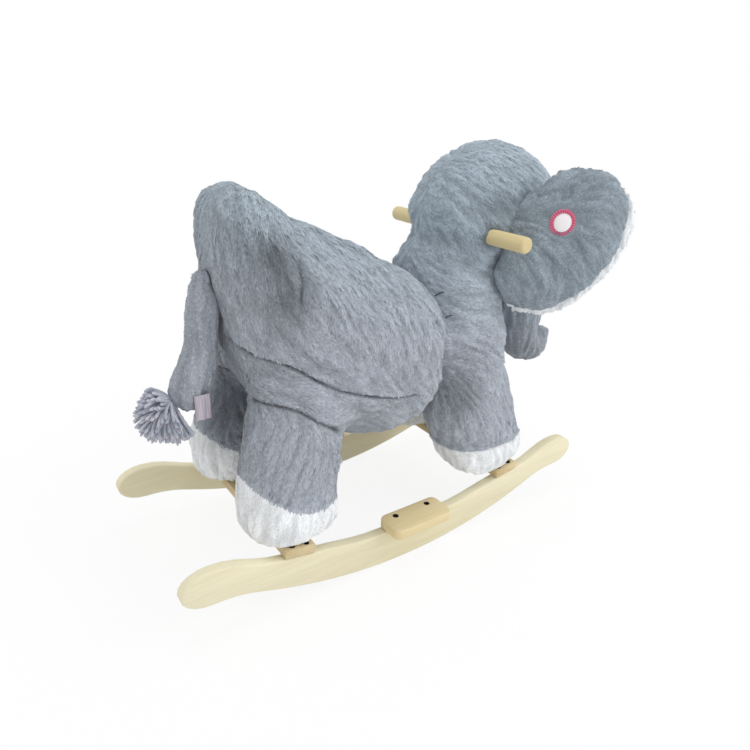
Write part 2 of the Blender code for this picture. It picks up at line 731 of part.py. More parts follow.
# Wooden base
runner_right = runner("runner_right", -1)
runner_left = runner("runner_left", 1)
front_board = cross_board("front_cross_board", 1)
rear_board = cross_board("rear_cross_board", -1)
footrest_right = footrest("footrest_right", -1)
footrest_left = footrest("footrest_left", 1)
board_screw_holes = screws("board", board_screw_places())
rest_screw_holes = screws("footrest", footrest_screw_places())
leg_screw_holes = screws("leg", leg_screw_places(), STEEL)
for part in (runner_right, runner_left):
    cut(part, board_screw_holes, rest_screw_holes)
for part in (footrest_right, footrest_left):
    cut(part, rest_screw_holes)
for part in (front_board, rear_board):
    cut(part, board_screw_holes, leg_screw_holes)

# Wooden frame
seat = seat_board("seat_board")
seat_space = seat_board("seat_board", GAP)
upright = neck_post("neck_post")
upright_space = neck_post("neck_post", GAP)
handle("handle")
handle_space = handle("handle", GAP)
cut(seat, upright_space)
cut(upright, handle_space)
post_spaces = {}
for end, end_name in ENDS:
    for side, side_name in SIDES:
        post_name = f"{end_name}_leg_post_{side_name}"
        post = leg_post(post_name, end, side)
        post_spaces[end, side], tenon_space = leg_post_room(post_name, end, side)
        cut(post, leg_screw_holes)
        cut(seat, tenon_space)

# Plush animal
body_rows = moved(BODY_SECTIONS, 0.0, SEAT_BOARD_BOTTOM)
head_rows = moved(HEAD_SECTIONS, HANDLE_X, HANDLE_HEIGHT)
neck_rows = moved(NECK_SECTIONS, HANDLE_X, 0.0, HANDLE_HEIGHT)
trunk_rows = moved(TRUNK_SECTIONS, HANDLE_X, HANDLE_HEIGHT)
body = piece("body", forward_form(body_rows, BODY_SIDES, 2), PLUSH_GREY)
body_space = cutter("body", forward_form(body_rows, BODY_SIDES, 2, GAP))
cut(body, seat_space, post_spaces[-1, 1], post_spaces[-1, -1])
head = piece("head", forward_form(head_rows, HEAD_SIDES, 2), PLUSH_GREY)
head_space = cutter("head", forward_form(head_rows, HEAD_SIDES, 2, GAP))
cut(head, upright_space, handle_space)
neck = piece("neck", standing_form(neck_rows, HEAD_SIDES, 2), PLUSH_GREY)
neck_space = cutter("neck", standing_form(neck_rows, HEAD_SIDES, 2, grow=GAP))
cut(neck, body_space, head_space, seat_space, upright_space, handle_space)
cut(neck, post_spaces[1, 1], post_spaces[1, -1])
trunk = piece("trunk", hanging_form(trunk_rows, LEG_SIDES, 2, flat_end=True), PLUSH_GREY)
trunk_end = Vector((trunk_rows[-1][0], 0, trunk_rows[-1][1]))
trunk_way = trunk_end - Vector((trunk_rows[-2][0], 0, trunk_rows[-2][1]))
nostril_profile = rod_profile(NOSTRIL_RADIUS, -NOSTRIL_DEPTH, NOSTRIL_DEPTH)
nostril_profile[1] = (NOSTRIL_RADIUS * 0.8, -NOSTRIL_DEPTH / 2)  # its floor is dished
nostril = turned(nostril_profile, SMALL_SIDES)
nostril.transform(Matrix.Translation(trunk_end) @ trunk_way.to_track_quat("Z", "Y").to_matrix().to_4x4())
cut(trunk, head_space, cutter("nostril", nostril))

for end, leg_name, sections, height, slope in (
    (1, "front", FRONT_LEG_SECTIONS, FRONT_CUFF_HEIGHT, FRONT_CUFF_SLOPE),
    (-1, "hind", HIND_LEG_SECTIONS, HIND_CUFF_HEIGHT, HIND_CUFF_SLOPE),
):
    rows = moved(sections, end * post_x, LEG_POST_Y, board_top)
    sole_x = rows[-1][0]
    board_space = cross_board(leg_name + "_cross_board_space", end, GAP)
    for side, side_name in SIDES:
        form = standing_form(rows, LEG_SIDES, 2, side)
        upper = leg_half(form, sole_x, board_top + height, slope, True)
        leg = piece(f"{leg_name}_leg_{side_name}", upper, PLUSH_GREY)
        cut(leg, body_space, post_spaces[end, side], seat_space)
        if end == 1:
            cut(leg, neck_space)
        form = standing_form(rows, LEG_SIDES, 2, side)
        lower = leg_half(form, sole_x, board_top + height, slope, False)
        foot = piece(f"{leg_name}_foot_{side_name}", lower, PLUSH_WHITE)
        cut(foot, board_space, post_spaces[end, side])

# Tail, which swings on its sewn root
rump = BVHTree.FromObject(body, bpy.context.evaluated_depsgraph_get())
behind = Vector((-1.0, 0.0, SEAT_BOARD_BOTTOM + TAIL_ROOT_HEIGHT))
rear_hit, rear_way = rump.ray_cast(behind, Vector((1, 0, 0)))[:2]
tail_root = bpy.data.objects.new("tail_root", None)
bpy.context.scene.collection.objects.link(tail_root)
tail_root.parent = toy
tail_root.location = rear_hit + (TAIL_ROOT_RADIUS + GAP) * rear_way
tail_root.location.y = 0
tassel_rows = moved(TASSEL_SECTIONS)
tail = piece("tail", hanging_form(moved(TAIL_SECTIONS), SMALL_SIDES, 2), PLUSH_GREY, tail_root)
piece("tassel", hanging_form(tassel_rows, SMALL_SIDES, 2), YARN, tail_root)


# The care label hangs from a slot in the tail's near side.
def label_box(grow=0.0):
    middle_x, y, top = LABEL_PLACE
    half, thick = LABEL_WIDTH / 2 + grow, LABEL_THICKNESS / 2 + grow
    low, high = top - LABEL_LENGTH - grow, top + grow
    return box((middle_x - half, y - thick, low), (middle_x + half, y + thick, high))


piece("care_label", label_box(), RIBBON, tail_root, smooth=False)
cut(
    tail,
    body_space,
    cutter("tassel", hanging_form(tassel_rows, SMALL_SIDES, 2, GAP), tail_root),
    cutter("care_label", label_box(GAP), tail_root),
)

# Ears
ear_out = {side: Vector((math.cos(EAR_SWEEP), side * math.sin(EAR_SWEEP), 0)) for side in (1, -1)}
ear_back_way = {side: Vector((-math.sin(EAR_SWEEP), side * math.cos(EAR_SWEEP), 0)) for side in (1, -1)}


def ear_root(side):
    return Vector((HANDLE_X + EAR_BASE[0], side * EAR_BASE[1], HANDLE_HEIGHT + EAR_BASE[2]))


def ear_point(side, out, up, off):
    cup = EAR_CUP * ((out - EAR_CENTRE[0]) ** 2 + (up - EAR_CENTRE[1]) ** 2) / EAR_RADIUS**2
    return ear_out[side] * out + Vector((0, 0, up)) + ear_back_way[side] * (off - cup)


# One face of the ear: a dome over the outline, closed by the sheet between the two faces.
def ear_pad(side, outline, thickness, off):
    ring = smooth_ring(outline, 2)
    middle = np.array(EAR_CENTRE)
    bm = bmesh.new()
    levels = [(0.40, 0), (0.65, 0), (0.85, 0), (1.0, 0), (0.96, 1), (0.84, 1), (0.55, 1)]
    loops = []
    for share, domed in levels:
        lift = thickness * math.sqrt(1 - share**4) if domed else 0.0
        spots = middle + (ring - middle) * share
        loops.append([bm.verts.new(ear_point(side, out, up, off + lift)) for out, up in spots])
    count = len(ring)
    for a, b in zip(loops, loops[1:]):
        for k in range(count):
            bm.faces.new((a[k], a[(k + 1) % count], b[(k + 1) % count], b[k]))
    for loop, lift in ((loops[0], 0.0), (loops[-1], thickness)):
        pole = bm.verts.new(ear_point(side, middle[0], middle[1], off + lift))
        for k in range(count):
            bm.faces.new((pole, loop[k], loop[(k + 1) % count]))
    return bm


# The head and neck as a bent ear meets them: turned the other way about its hinge line.
def ear_clearance(side, name, turn):
    hinge = Matrix.Translation(ear_root(side))
    place = hinge @ Matrix.Rotation(-side * turn, 4, "Z") @ hinge.inverted()
    spaces = []
    for form_name, bm in (
        ("head", forward_form(head_rows, HEAD_SIDES, 2, GAP)),
        ("neck", standing_form(neck_rows, HEAD_SIDES, 2, grow=GAP)),
    ):
        bm.transform(place)
        spaces.append(cutter(f"{form_name}_from_ear_{name}_{round(math.degrees(turn))}", bm))
    return spaces


ears = {}
for side, side_name in SIDES:
    hinge = bpy.data.objects.new(f"ear_root_{side_name}", None)
    bpy.context.scene.collection.objects.link(hinge)
    hinge.parent = toy
    hinge.location = ear_root(side)
    centre = np.array(EAR_CENTRE)
    wide = centre + (np.array(EAR_OUTLINE) - centre) * LINING_SCALE + LINING_SHIFT
    bent = ear_clearance(side, side_name, EAR_REACH / 2) + ear_clearance(side, side_name, EAR_REACH)
    back = ear_pad(side, EAR_OUTLINE, EAR_BACK_THICKNESS, GAP / 2)
    ear = piece(f"ear_{side_name}", back, PLUSH_GREY, hinge)
    face = ear_pad(side, wide, -EAR_LINING_THICKNESS, -GAP / 2)
    lining = piece(f"ear_lining_{side_name}", face, PLUSH_WHITE, hinge)
    for part in (ear, lining):
        cut(part, head_space, neck_space, *bent)
    ears[side] = ear, hinge

# Sound module in the right ear, stacked along the ear's normal
ear, hinge = ears[-1]
module = bpy.data.objects.new("sound_module", None)
bpy.context.scene.collection.objects.link(module)
module.parent = hinge
module.location = ear_point(-1, *MODULE_PLACE, MODULE_FLOOR_OFFSET)
module.rotation_mode = "QUATERNION"
module.rotation_quaternion = ear_back_way[-1].to_track_quat("Z", "Y")
speaker_low = CASE_FLOOR + GAP
cells_low = speaker_low + SPEAKER_HEIGHT + GAP
disc_low = cells_low + CELL_HEIGHT + GAP
spring_low = disc_low + CIRCUIT_BOARD_HEIGHT + GAP
spring_height = SPRING_PRESSED + CAP_TRAVEL
flange_low = spring_low + spring_height + GAP
case_top = flange_low + CAP_FLANGE + GAP
ring_low = case_top + GAP
case_inner = CASE_RADIUS - CASE_WALL
case_profile = [(0, 0), (CASE_RADIUS, 0), (CASE_RADIUS, case_top)]
case_profile += [(case_inner, case_top), (case_inner, CASE_FLOOR), (0, CASE_FLOOR)]
piece("sound_case", turned(case_profile, 32), CASE_WHITE, module)
speaker_radius = case_inner - SPEAKER_MARGIN
speaker_profile = rod_profile(speaker_radius, speaker_low, speaker_low + SPEAKER_HEIGHT)
speaker_profile[3:] = [  # the cone, with its dust cap
    (speaker_radius * 0.8, speaker_low + SPEAKER_HEIGHT),
    (speaker_radius * 0.4, speaker_low + SPEAKER_HEIGHT * 0.6),
    (0, speaker_low + SPEAKER_HEIGHT * 0.75),
]
piece("speaker", turned(speaker_profile, 24), BLACK, module)
cell_edge = cells_low + CELL_HEIGHT * 0.2
cell_profile = rod_profile(CELL_RADIUS, cell_edge, cells_low + CELL_HEIGHT)
cell_profile[:1] = [(0, cells_low), (CELL_RADIUS * 0.85, cells_low), (CELL_RADIUS * 0.85, cell_edge)]
piece("coin_cell", turned(cell_profile, 24), STEEL, module)
disc = rod_profile(case_inner - GAP, disc_low, disc_low + CIRCUIT_BOARD_HEIGHT)
piece("circuit_board", turned(disc, 28), BOARD_GREEN, module)
coil = bpy.data.curves.new("cap_spring", "CURVE")
coil.dimensions = "3D"
coil.bevel_depth = SPRING_WIRE
coil.bevel_resolution = 1
coil.use_fill_caps = True
coil.materials.append(material("cap_spring", STEEL))
turns = np.linspace(0, SPRING_TURNS, SPRING_TURNS * 8 + 1)
line = coil.splines.new("POLY")
line.points.add(len(turns) - 1)
climb = (spring_height - 2 * SPRING_WIRE) / SPRING_TURNS
for point, turn in zip(line.points, turns):
    across, along = math.cos(turn * math.tau), math.sin(turn * math.tau)
    height = spring_low + SPRING_WIRE + climb * turn
    point.co = (SPRING_RADIUS * across, SPRING_RADIUS * along, height, 1)
add_object("cap_spring", coil, module)
cap_top = ring_low + RING_HEIGHT + CAP_RISE
flange_top = flange_low + CAP_FLANGE
cap_profile = rod_profile(case_inner - CAP_FLANGE_MARGIN, flange_low, flange_top)
cap_profile[3:] = [(CAP_RADIUS, flange_top)]
for turn in np.linspace(0, math.pi / 2, 5):
    cap_profile.append((CAP_RADIUS * math.cos(turn), ring_low + RING_HEIGHT + CAP_RISE * math.sin(turn)))
piece("sound_button", turned(cap_profile, 24), PLUSH_WHITE, module)
ring_inner = CAP_RADIUS + GAP
ring_top = ring_low + RING_HEIGHT
ring_profile = [(ring_inner, ring_low), (CASE_RADIUS, ring_low), (CASE_RADIUS, ring_low + RING_HEIGHT * 0.6)]
ring_profile += [(CASE_RADIUS - RING_HEIGHT * 0.5, ring_top), (ring_inner, ring_top), (ring_inner, ring_low)]
piece("patch_ring", turned(ring_profile, 24), PINK, module)
pocket = turned(rod_profile(CASE_RADIUS + GAP, -GAP, cap_top), 32)
cut(ear, cutter("sound_pocket", pocket, module))

# Eyes
skull = BVHTree.FromObject(head, bpy.context.evaluated_depsgraph_get())
for side, side_name in SIDES:
    beside = Vector((HANDLE_X + EYE_PLACE[0], side, HANDLE_HEIGHT + EYE_PLACE[1]))
    spot, normal = skull.ray_cast(beside, Vector((0, -side, 0)))[:2]
    place = Matrix.Translation(spot) @ normal.to_track_quat("Z", "Y").to_matrix().to_4x4()
    profile = [(0, -EYE_SHANK_LENGTH), (EYE_SHANK_RADIUS, -EYE_SHANK_LENGTH), (EYE_SHANK_RADIUS, GAP)]
    for turn in np.linspace(0, math.pi / 2, 5):
        profile.append((EYE_RADIUS * math.cos(turn), GAP + EYE_HEIGHT * math.sin(turn)))
    bm = turned(profile, 16)
    bm.transform(place)
    piece(f"eye_{side_name}", bm, BLACK)
    bm = turned(rod_profile(EYE_SHANK_RADIUS + GAP, -EYE_SHANK_LENGTH - GAP, EYE_HEIGHT), 12)
    bm.transform(place)
    cut(head, cutter(f"eye_hole_{side_name}", bm))

# The whole length's middle goes to X = 0
bpy.context.view_layer.update()
graph = bpy.context.evaluated_depsgraph_get()
reach = []
for shown in bpy.context.scene.objects:
    if shown.type in ("MESH", "CURVE") and not shown.hide_render:
        solid = shown.evaluated_get(graph)
        reach += [(shown.matrix_world @ point.co).x for point in solid.to_mesh().vertices]
        solid.to_mesh_clear()
toy.location.x = -(min(reach) + max(reach)) / 2
print("toy placed at x =", round(toy.location.x, 5))
print("tail hinge at x =", round(toy.location.x + tail_root.location.x, 5))
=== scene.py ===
import math
from itertools import product

import bmesh
import bpy
import numpy as np
from mathutils import Matrix, Vector
from mathutils.bvhtree import BVHTree


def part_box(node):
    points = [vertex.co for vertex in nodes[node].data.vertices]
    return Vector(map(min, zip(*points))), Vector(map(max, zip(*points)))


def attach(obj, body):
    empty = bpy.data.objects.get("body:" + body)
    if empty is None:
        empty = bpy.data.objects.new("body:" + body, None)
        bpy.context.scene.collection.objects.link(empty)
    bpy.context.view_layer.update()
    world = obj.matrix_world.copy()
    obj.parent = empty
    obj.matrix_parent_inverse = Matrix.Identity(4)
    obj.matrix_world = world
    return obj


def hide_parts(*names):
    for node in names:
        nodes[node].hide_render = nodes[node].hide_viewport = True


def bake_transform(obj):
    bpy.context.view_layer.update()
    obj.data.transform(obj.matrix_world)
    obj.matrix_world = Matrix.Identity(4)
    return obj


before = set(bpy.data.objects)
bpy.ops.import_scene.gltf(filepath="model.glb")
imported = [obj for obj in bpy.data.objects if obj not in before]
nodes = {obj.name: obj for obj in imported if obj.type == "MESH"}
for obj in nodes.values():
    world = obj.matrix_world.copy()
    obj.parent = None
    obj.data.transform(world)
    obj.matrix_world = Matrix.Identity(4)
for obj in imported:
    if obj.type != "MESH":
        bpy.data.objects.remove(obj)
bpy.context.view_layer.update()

bothSides = ((1, "left"), (-1, "right"))
sideNames = [side for _, side in bothSides]
white = (1, 1, 1)


def say(stage):
    print("scene:", stage)


def newObject(name, data):
    made = bpy.data.objects.new(name, data)
    bpy.context.scene.collection.objects.link(made)
    return made


# A mesh out of a bmesh, which is then freed
def meshFrom(bm, name):
    mesh = bpy.data.meshes.new(name)
    bm.to_mesh(mesh)
    bm.free()
    return mesh


# A smooth mesh from its places and faces
def smoothMesh(name, places, faces):
    mesh = bpy.data.meshes.new(name)
    mesh.from_pydata(places.tolist(), [], faces)
    mesh.shade_smooth()
    return mesh


# A CAD solid as a bmesh, its double points merged
def solidMesh(name):
    bm = bmesh.new()
    bm.from_mesh(nodes[name].data)
    bmesh.ops.remove_doubles(bm, verts=bm.verts, dist=1e-6)
    return bm


# Camera of the picture: yaw from +Y to +X, pitch down, roll, in degrees
viewpoint = {
    "place": (-0.4761, -0.6431, 0.5539),
    "yaw": 36.022,
    "pitch": 23.498,
    "roll": -2.362,
    "lens": 29.95,
    "sensor": 36,
}


def addCamera(look):
    yaw, pitch, roll = (math.radians(look[turn]) for turn in ("yaw", "pitch", "roll"))
    ahead = Vector((math.sin(yaw) * math.cos(pitch), math.cos(yaw) * math.cos(pitch), -math.sin(pitch)))
    across = Vector((math.cos(yaw), -math.sin(yaw), 0))
    below = ahead.cross(across)
    right = math.cos(roll) * across + math.sin(roll) * below
    down = -math.sin(roll) * across + math.cos(roll) * below
    data = bpy.data.cameras.new("camera")
    data.lens, data.sensor_width = look["lens"], look["sensor"]
    camera = newObject("camera", data)
    turn = Matrix((right, -down, -ahead)).transposed().to_4x4()
    camera.matrix_world = Matrix.Translation(look["place"]) @ turn
    bpy.context.scene.camera = camera


addCamera(viewpoint)
bpy.context.scene.view_settings.view_transform = "Standard"


# One socket of a shader tree, so that shader maths reads as plain expressions
class Wire:
    def __init__(self, sheet, socket):
        self.sheet = sheet
        self.socket = socket

    def join(self, kind, *others):
        return self.sheet.node("ShaderNodeMath", {"operation": kind}, *others)

    def __add__(self, other):
        return self.join("ADD", self, other)

    def __radd__(self, other):
        return self.join("ADD", other, self)

    def __sub__(self, other):
        return self.join("SUBTRACT", self, other)

    def __rsub__(self, other):
        return self.join("SUBTRACT", other, self)

    def __mul__(self, other):
        return self.join("MULTIPLY", self, other)

    def __rmul__(self, other):
        return self.join("MULTIPLY", other, self)

    def __or__(self, other):  # the larger of the two
        return self.join("MAXIMUM", self, other)

    def within(self, low, high):  # 0 at low, 1 at high, smooth between
        settings = {"interpolation_type": "SMOOTHSTEP"}
        return self.sheet.node("ShaderNodeMapRange", settings, self, low, high)


# The node tree of a material, or of the world
class Sheet:
    def __init__(self, name, owners=bpy.data.materials, end="ShaderNodeOutputMaterial"):
        self.owner = owners.new(name)
        self.owner.use_nodes = True
        self.tree = self.owner.node_tree
        self.tree.nodes.clear()
        self.end = end

    # Links a wire to a socket, or gives the socket its own value
    def fill(self, socket, value):
        if isinstance(value, Wire):
            self.tree.links.new(value.socket, socket)
        elif value is not None:
            socket.default_value = (*value, 1) if socket.type == "RGBA" else value

    # A node by its type, its settings and the values or wires of its sockets, in order or by name
    def node(self, kind, settings=None, *inputs, out=0, **named):
        made = self.tree.nodes.new(kind)
        for key, value in (settings or {}).items():
            setattr(made, key, value)
        for key, value in list(enumerate(inputs)) + [(k.replace("_", " "), v) for k, v in named.items()]:
            self.fill(made.inputs[key], value)
        return Wire(self, made.outputs[out])

    def objectPlace(self):
        return self.node("ShaderNodeTexCoord", out="Object")

    def axis(self, place, letter):
        return self.node("ShaderNodeSeparateXYZ", None, place, out=letter)

    def attribute(self, name):
        return self.node("ShaderNodeAttribute", {"attribute_name": name}, out="Fac")

    def noise(self, place, scale, detail=2.0, rough=0.5):
        given = {"Vector": place, "Scale": scale, "Detail": detail, "Roughness": rough}
        return self.node("ShaderNodeTexNoise", None, **given)

    def stretch(self, place, *scale):
        return self.node("ShaderNodeVectorMath", {"operation": "MULTIPLY"}, place, scale)

    def blend(self, factor, a, b, kind="MIX"):
        made = self.tree.nodes.new("ShaderNodeMix")
        made.data_type, made.blend_type = "RGBA", kind
        for index, value in ((0, factor), (6, a), (7, b)):  # its sockets for colours
            self.fill(made.inputs[index], value)
        return Wire(self, made.outputs[2])

    # A colour times a value
    def lit(self, colour, light):
        grey = self.node("ShaderNodeCombineColor", None, light, light, light)
        return self.blend(1.0, colour, grey, "MULTIPLY")

    def bump(self, height, strength, distance):
        return self.node("ShaderNodeBump", None, Strength=strength, Distance=distance, Height=height)

    # 1 for the rays that see the plain background, 0 for the others
    def plainRay(self):
        rays = ("Is Camera Ray", "Is Glossy Ray", "Is Transmission Ray")
        camera, glossy, clear = (self.node("ShaderNodeLightPath", out=ray) for ray in rays)
        return camera | (glossy | clear)

    def surface(self, colour, roughness, normal=None, **fixed):
        given = {"Base_Color": colour, "Roughness": roughness, "Normal": normal}
        return self.finish(self.node("ShaderNodeBsdfPrincipled", None, **given, **fixed))

    def finish(self, wire):
        self.tree.links.new(wire.socket, self.tree.nodes.new(self.end).inputs[0])
        return self.owner


# Floor and light
stageLook = {
    "floorReach": 12,
    "floorColour": (0.93, 0.93, 0.93),
    "keep": 0.13,  # how much of its own shading the floor keeps, near the toy
    "shadowReach": (0.35, 0.75),
    "sky": 0.80,
    "aim": (0, 0, 0.25),
    "lamps": (
        # place, size, watts
        ((1.47, -1.47, 1.45), 1.3, 15),
        ((0.08, 0.0, 2.65), 1.3, 13),
    ),
}


def addFloor(look):
    bm = bmesh.new()
    bmesh.ops.create_grid(bm, x_segments=1, y_segments=1, size=look["floorReach"])
    floor = newObject("floor", meshFrom(bm, "floor"))
    sheet = Sheet("floor")
    shaded = sheet.node("ShaderNodeBsdfDiffuse", None, look["floorColour"])
    plain = sheet.node("ShaderNodeEmission", None, white, 1.0)
    away = sheet.node("ShaderNodeVectorMath", {"operation": "LENGTH"}, sheet.objectPlace(), out=1)
    share = 1 - (1 - away.within(*look["shadowReach"])) * look["keep"]
    mixed = sheet.node("ShaderNodeMixShader", None, sheet.plainRay() * share, shaded, plain)
    floor.data.materials.append(sheet.finish(mixed))


def addLight(look):
    air = Sheet("studio", bpy.data.worlds, "ShaderNodeOutputWorld")
    sky = air.node("ShaderNodeBackground", None, white, look["sky"])
    plain = air.node("ShaderNodeBackground", None, white, 1.0)
    bpy.context.scene.world = air.finish(air.node("ShaderNodeMixShader", None, air.plainRay(), sky, plain))
    for place, size, watts in look["lamps"]:
        data = bpy.data.lights.new("softbox", "AREA")
        data.shape, data.size, data.energy = "DISK", size, watts
        aim = Vector(look["aim"]) - Vector(place)
        turn = aim.to_track_quat("-Z", "Y").to_matrix().to_4x4()
        newObject("softbox", data).matrix_world = Matrix.Translation(place) @ turn


addFloor(stageLook)
addLight(stageLook)
say("camera and light are up")


# Random values on a unit lattice, blended with an S curve along each axis: smooth noise from -1 to 1
def latticeNoise(points, seed):
    cell = np.floor(points).astype(np.int64)
    part = points - cell
    part = part * part * (3 - 2 * part)
    total = np.zeros(len(points))
    for corner in product((0, 1), repeat=3):
        at = cell + corner
        # scrambles the corner's whole numbers into 16 even bits
        key = (at[:, 0] * 73856093) ^ (at[:, 1] * 19349663) ^ (at[:, 2] * 83492791) ^ (seed * 2654435761)
        key = ((key ^ (key >> 13)) * 1274126177) & 0xFFFFFFFF
        value = ((key ^ (key >> 16)) & 0xFFFF) / 32767.5 - 1
        total += np.where(corner, part, 1 - part).prod(axis=1) * value
    return total


# Noise averaged along the pile's direction, in streaks: the mean over steps of noise(p + t flow)
def streaks(points, flow, width, length, seed, steps=9):
    total = np.zeros(len(points))
    for t in np.linspace(-0.5, 0.5, steps):
        total += latticeNoise((points + t * length * flow) / width, seed)
    return total / total.std()


def smoothStep(x, low, high):
    t = np.clip((x - low) / (high - low), 0, 1)
    return t * t * (3 - 2 * t)


def meshArrays(mesh):
    points = np.zeros(len(mesh.vertices) * 3, np.float32)
    mesh.vertices.foreach_get("co", points)
    normals = np.zeros(len(mesh.vertices) * 3, np.float32)
    mesh.vertices.foreach_get("normal", normals)
    edges = np.zeros(len(mesh.edges) * 2, np.int32)
    mesh.edges.foreach_get("vertices", edges)
    return points.reshape(-1, 3).astype(float), normals.reshape(-1, 3).astype(float), edges.reshape(-1, 2)


def setPoints(mesh, points):
    mesh.vertices.foreach_set("co", points.astype(np.float32).ravel())
    mesh.update()


# Each point moves towards the mean of its neighbours, by its own share
def relaxed(points, edges, share, rounds):
    ends = np.concatenate([edges[:, 0], edges[:, 1]])
    others = np.concatenate([edges[:, 1], edges[:, 0]])
    count = np.bincount(ends, minlength=len(points))[:, None]
    for _ in range(rounds):
        pulled = np.stack([np.bincount(ends, points[others, k], len(points)) for k in range(3)], 1)
        points = points + share[:, None] * (pulled / count - points)
    return points


def applyModifiers(made):
    bpy.context.view_layer.update()
    graph = bpy.context.evaluated_depsgraph_get()
    old, made.data = made.data, bpy.data.meshes.new_from_object(made.evaluated_get(graph))
    made.modifiers.clear()
    bpy.data.meshes.remove(old)


# The stuffed pieces start from the CAD solids of their names
plush = {
    "voxel": {"body": 0.0044, "neck": 0.0043, "tail": 0.0032, "ear": 0.0034, "foot": 0.0038, "trunk": 0.0036},
    "inset": {"body": 0.0032, "neck": 0.0028, "tail": 0.001, "ear": -0.0008, "foot": 0.0008, "trunk": 0.005},
    "smoothing": {"body": 24, "neck": 24, "tail": 8, "ear": 5, "foot": 8, "trunk": 16},
    "pocket": 0.0012,  # what is nearer to the frame than this is a pocket's wall
    "sewn": (0.0012, 0.0070),  # from a neighbour: held, and free
    "firm": (0.07, 0.13),  # heights between which the skins become softer
    "firmShare": 0.25,  # of the smoothing, below them
    "overlap": 0.0004,  # so that a group's solids grow together
    "valley": (0.022, 60),  # how far a group's outer seams are rounded, and in how many rounds
    "outer": (0.03, 0.06),  # from the middle line: where those seams begin
}
filling = {
    "pressure": 4.0,
    "swell": 0.0065,  # the most that it pushes a point
    "slack": -0.02,  # cloth cut a little larger than its place
    "quality": 4,
    "frames": 20,
    "levels": 10,  # steps in how firmly a point is held
}
limbKinds = ("front_leg", "front_foot", "hind_leg", "hind_foot")
limbNodes = [f"{kind}_{side}" for kind, side in product(limbKinds, sideNames)]
earNodes = [f"{kind}_{side}" for kind, side in product(("ear", "ear_lining"), sideNames)]
plushNodes = ["body", "head", "neck", "trunk", "tail"] + limbNodes + earNodes
soundNodes = ["sound_case", "patch_ring", "sound_button"]
inside = [name for name in nodes if "post" in name] + soundNodes
inside += ["seat_board", "handle", "care_label", "tassel", "eye_left", "eye_right"]
groups = {"body": ["body"], "neck": ["neck", "head"]}  # pieces that run on into each other, sewn flat
for side in sideNames:
    groups["body"] += ["hind_leg_" + side, "hind_foot_" + side]
    groups["neck"].append("front_leg_" + side)
for name in plushNodes:
    if not any(name in members for members in groups.values()):
        groups[name] = [name]
searchTrees = {}


# A search tree over these CAD solids
def solidTree(names):
    key = " ".join(names)
    if key not in searchTrees:
        places, faces = [], []
        for name in names:
            mesh = nodes[name].data
            faces += [[len(places) + corner for corner in face.vertices] for face in mesh.polygons]
            places += [vertex.co for vertex in mesh.vertices]
        searchTrees[key] = BVHTree.FromPolygons(places, faces)
    return searchTrees[key]


# How far each point is from the nearest of these CAD solids, searched up to a distance
def distanceTo(points, names, most):
    lookup = solidTree(names).find_nearest
    return np.array([most if (away := lookup(point, most)[3]) is None else away for point in points])


# The outside of a stuffed solid: the walls of its pockets for the frame come out, and their mouths are closed
def outerSkin(name):
    bm = solidMesh(name)
    bm.faces.ensure_lookup_table()
    away = distanceTo([face.calc_center_median() for face in bm.faces], inside, 0.002)
    inner = [bm.faces[index] for index in np.flatnonzero(away < plush["pocket"])]
    bmesh.ops.delete(bm, geom=inner, context="FACES")
    bmesh.ops.holes_fill(bm, edges=bm.edges)
    bmesh.ops.triangle_fill(bm, use_beauty=True, edges=[edge for edge in bm.edges if edge.is_boundary])
    bmesh.ops.holes_fill(bm, edges=bm.edges)
    bmesh.ops.triangulate(bm, faces=bm.faces)
    bmesh.ops.recalc_face_normals(bm, faces=bm.faces)
    mesh = meshFrom(bm, name)
    points, normals, _ = meshArrays(mesh)
    setPoints(mesh, points + plush["overlap"] * normals)
    return mesh


def plushSetting(name, group):
    return next(value for kind, value in plush[name].items() if kind in group)


# The stuffed and hard pieces that these pieces meet
def neighboursOf(members):
    hard = soundNodes[1:] if "ear" in members[0] else []
    hard = ["front_cross_board", "rear_cross_board"] if any("foot" in name for name in members) else hard
    return [name for name in plushNodes if name not in members] + hard


# First skin of a group: its solids as one fine even mesh, smoothed and pulled in a little, ready to be filled
def limpSkin(group):
    members = groups[group]
    bm = bmesh.new()
    for name in members:
        skin = outerSkin(name)
        bm.from_mesh(skin)
        bpy.data.meshes.remove(skin)
    made = newObject(group + "_skin", meshFrom(bm, group))
    grid = made.modifiers.new("even mesh", "REMESH")
    grid.mode = "VOXEL"
    grid.voxel_size = plushSetting("voxel", group)
    applyModifiers(made)
    points, _, edges = meshArrays(made.data)
    free = smoothStep(distanceTo(points, neighboursOf(members), 0.02), *plush["sewn"])
    loose = plush["firmShare"] + (1 - plush["firmShare"]) * smoothStep(points[:, 2], *plush["firm"])
    loose = free * loose
    if len(members) > 1:
        reach, rounds = plush["valley"]
        second = np.sort([distanceTo(points, [name], reach) for name in members], axis=0)[1]
        outer = smoothStep(np.abs(points[:, 1]), *plush["outer"])
        points = relaxed(points, edges, 0.5 * loose * outer * smoothStep(reach - second, 0, reach), rounds)
    setPoints(made.data, relaxed(points, edges, 0.5 * loose, plushSetting("smoothing", group)))
    points, normals, _ = meshArrays(made.data)
    setPoints(made.data, points - plushSetting("inset", group) * loose[:, None] * normals)
    held = made.vertex_groups.new(name="sewn")
    levels = filling["levels"]
    for level in range(levels + 1):
        held.add(np.flatnonzero(np.rint((1 - free) * levels) == level).tolist(), level / levels, "REPLACE")
    return made


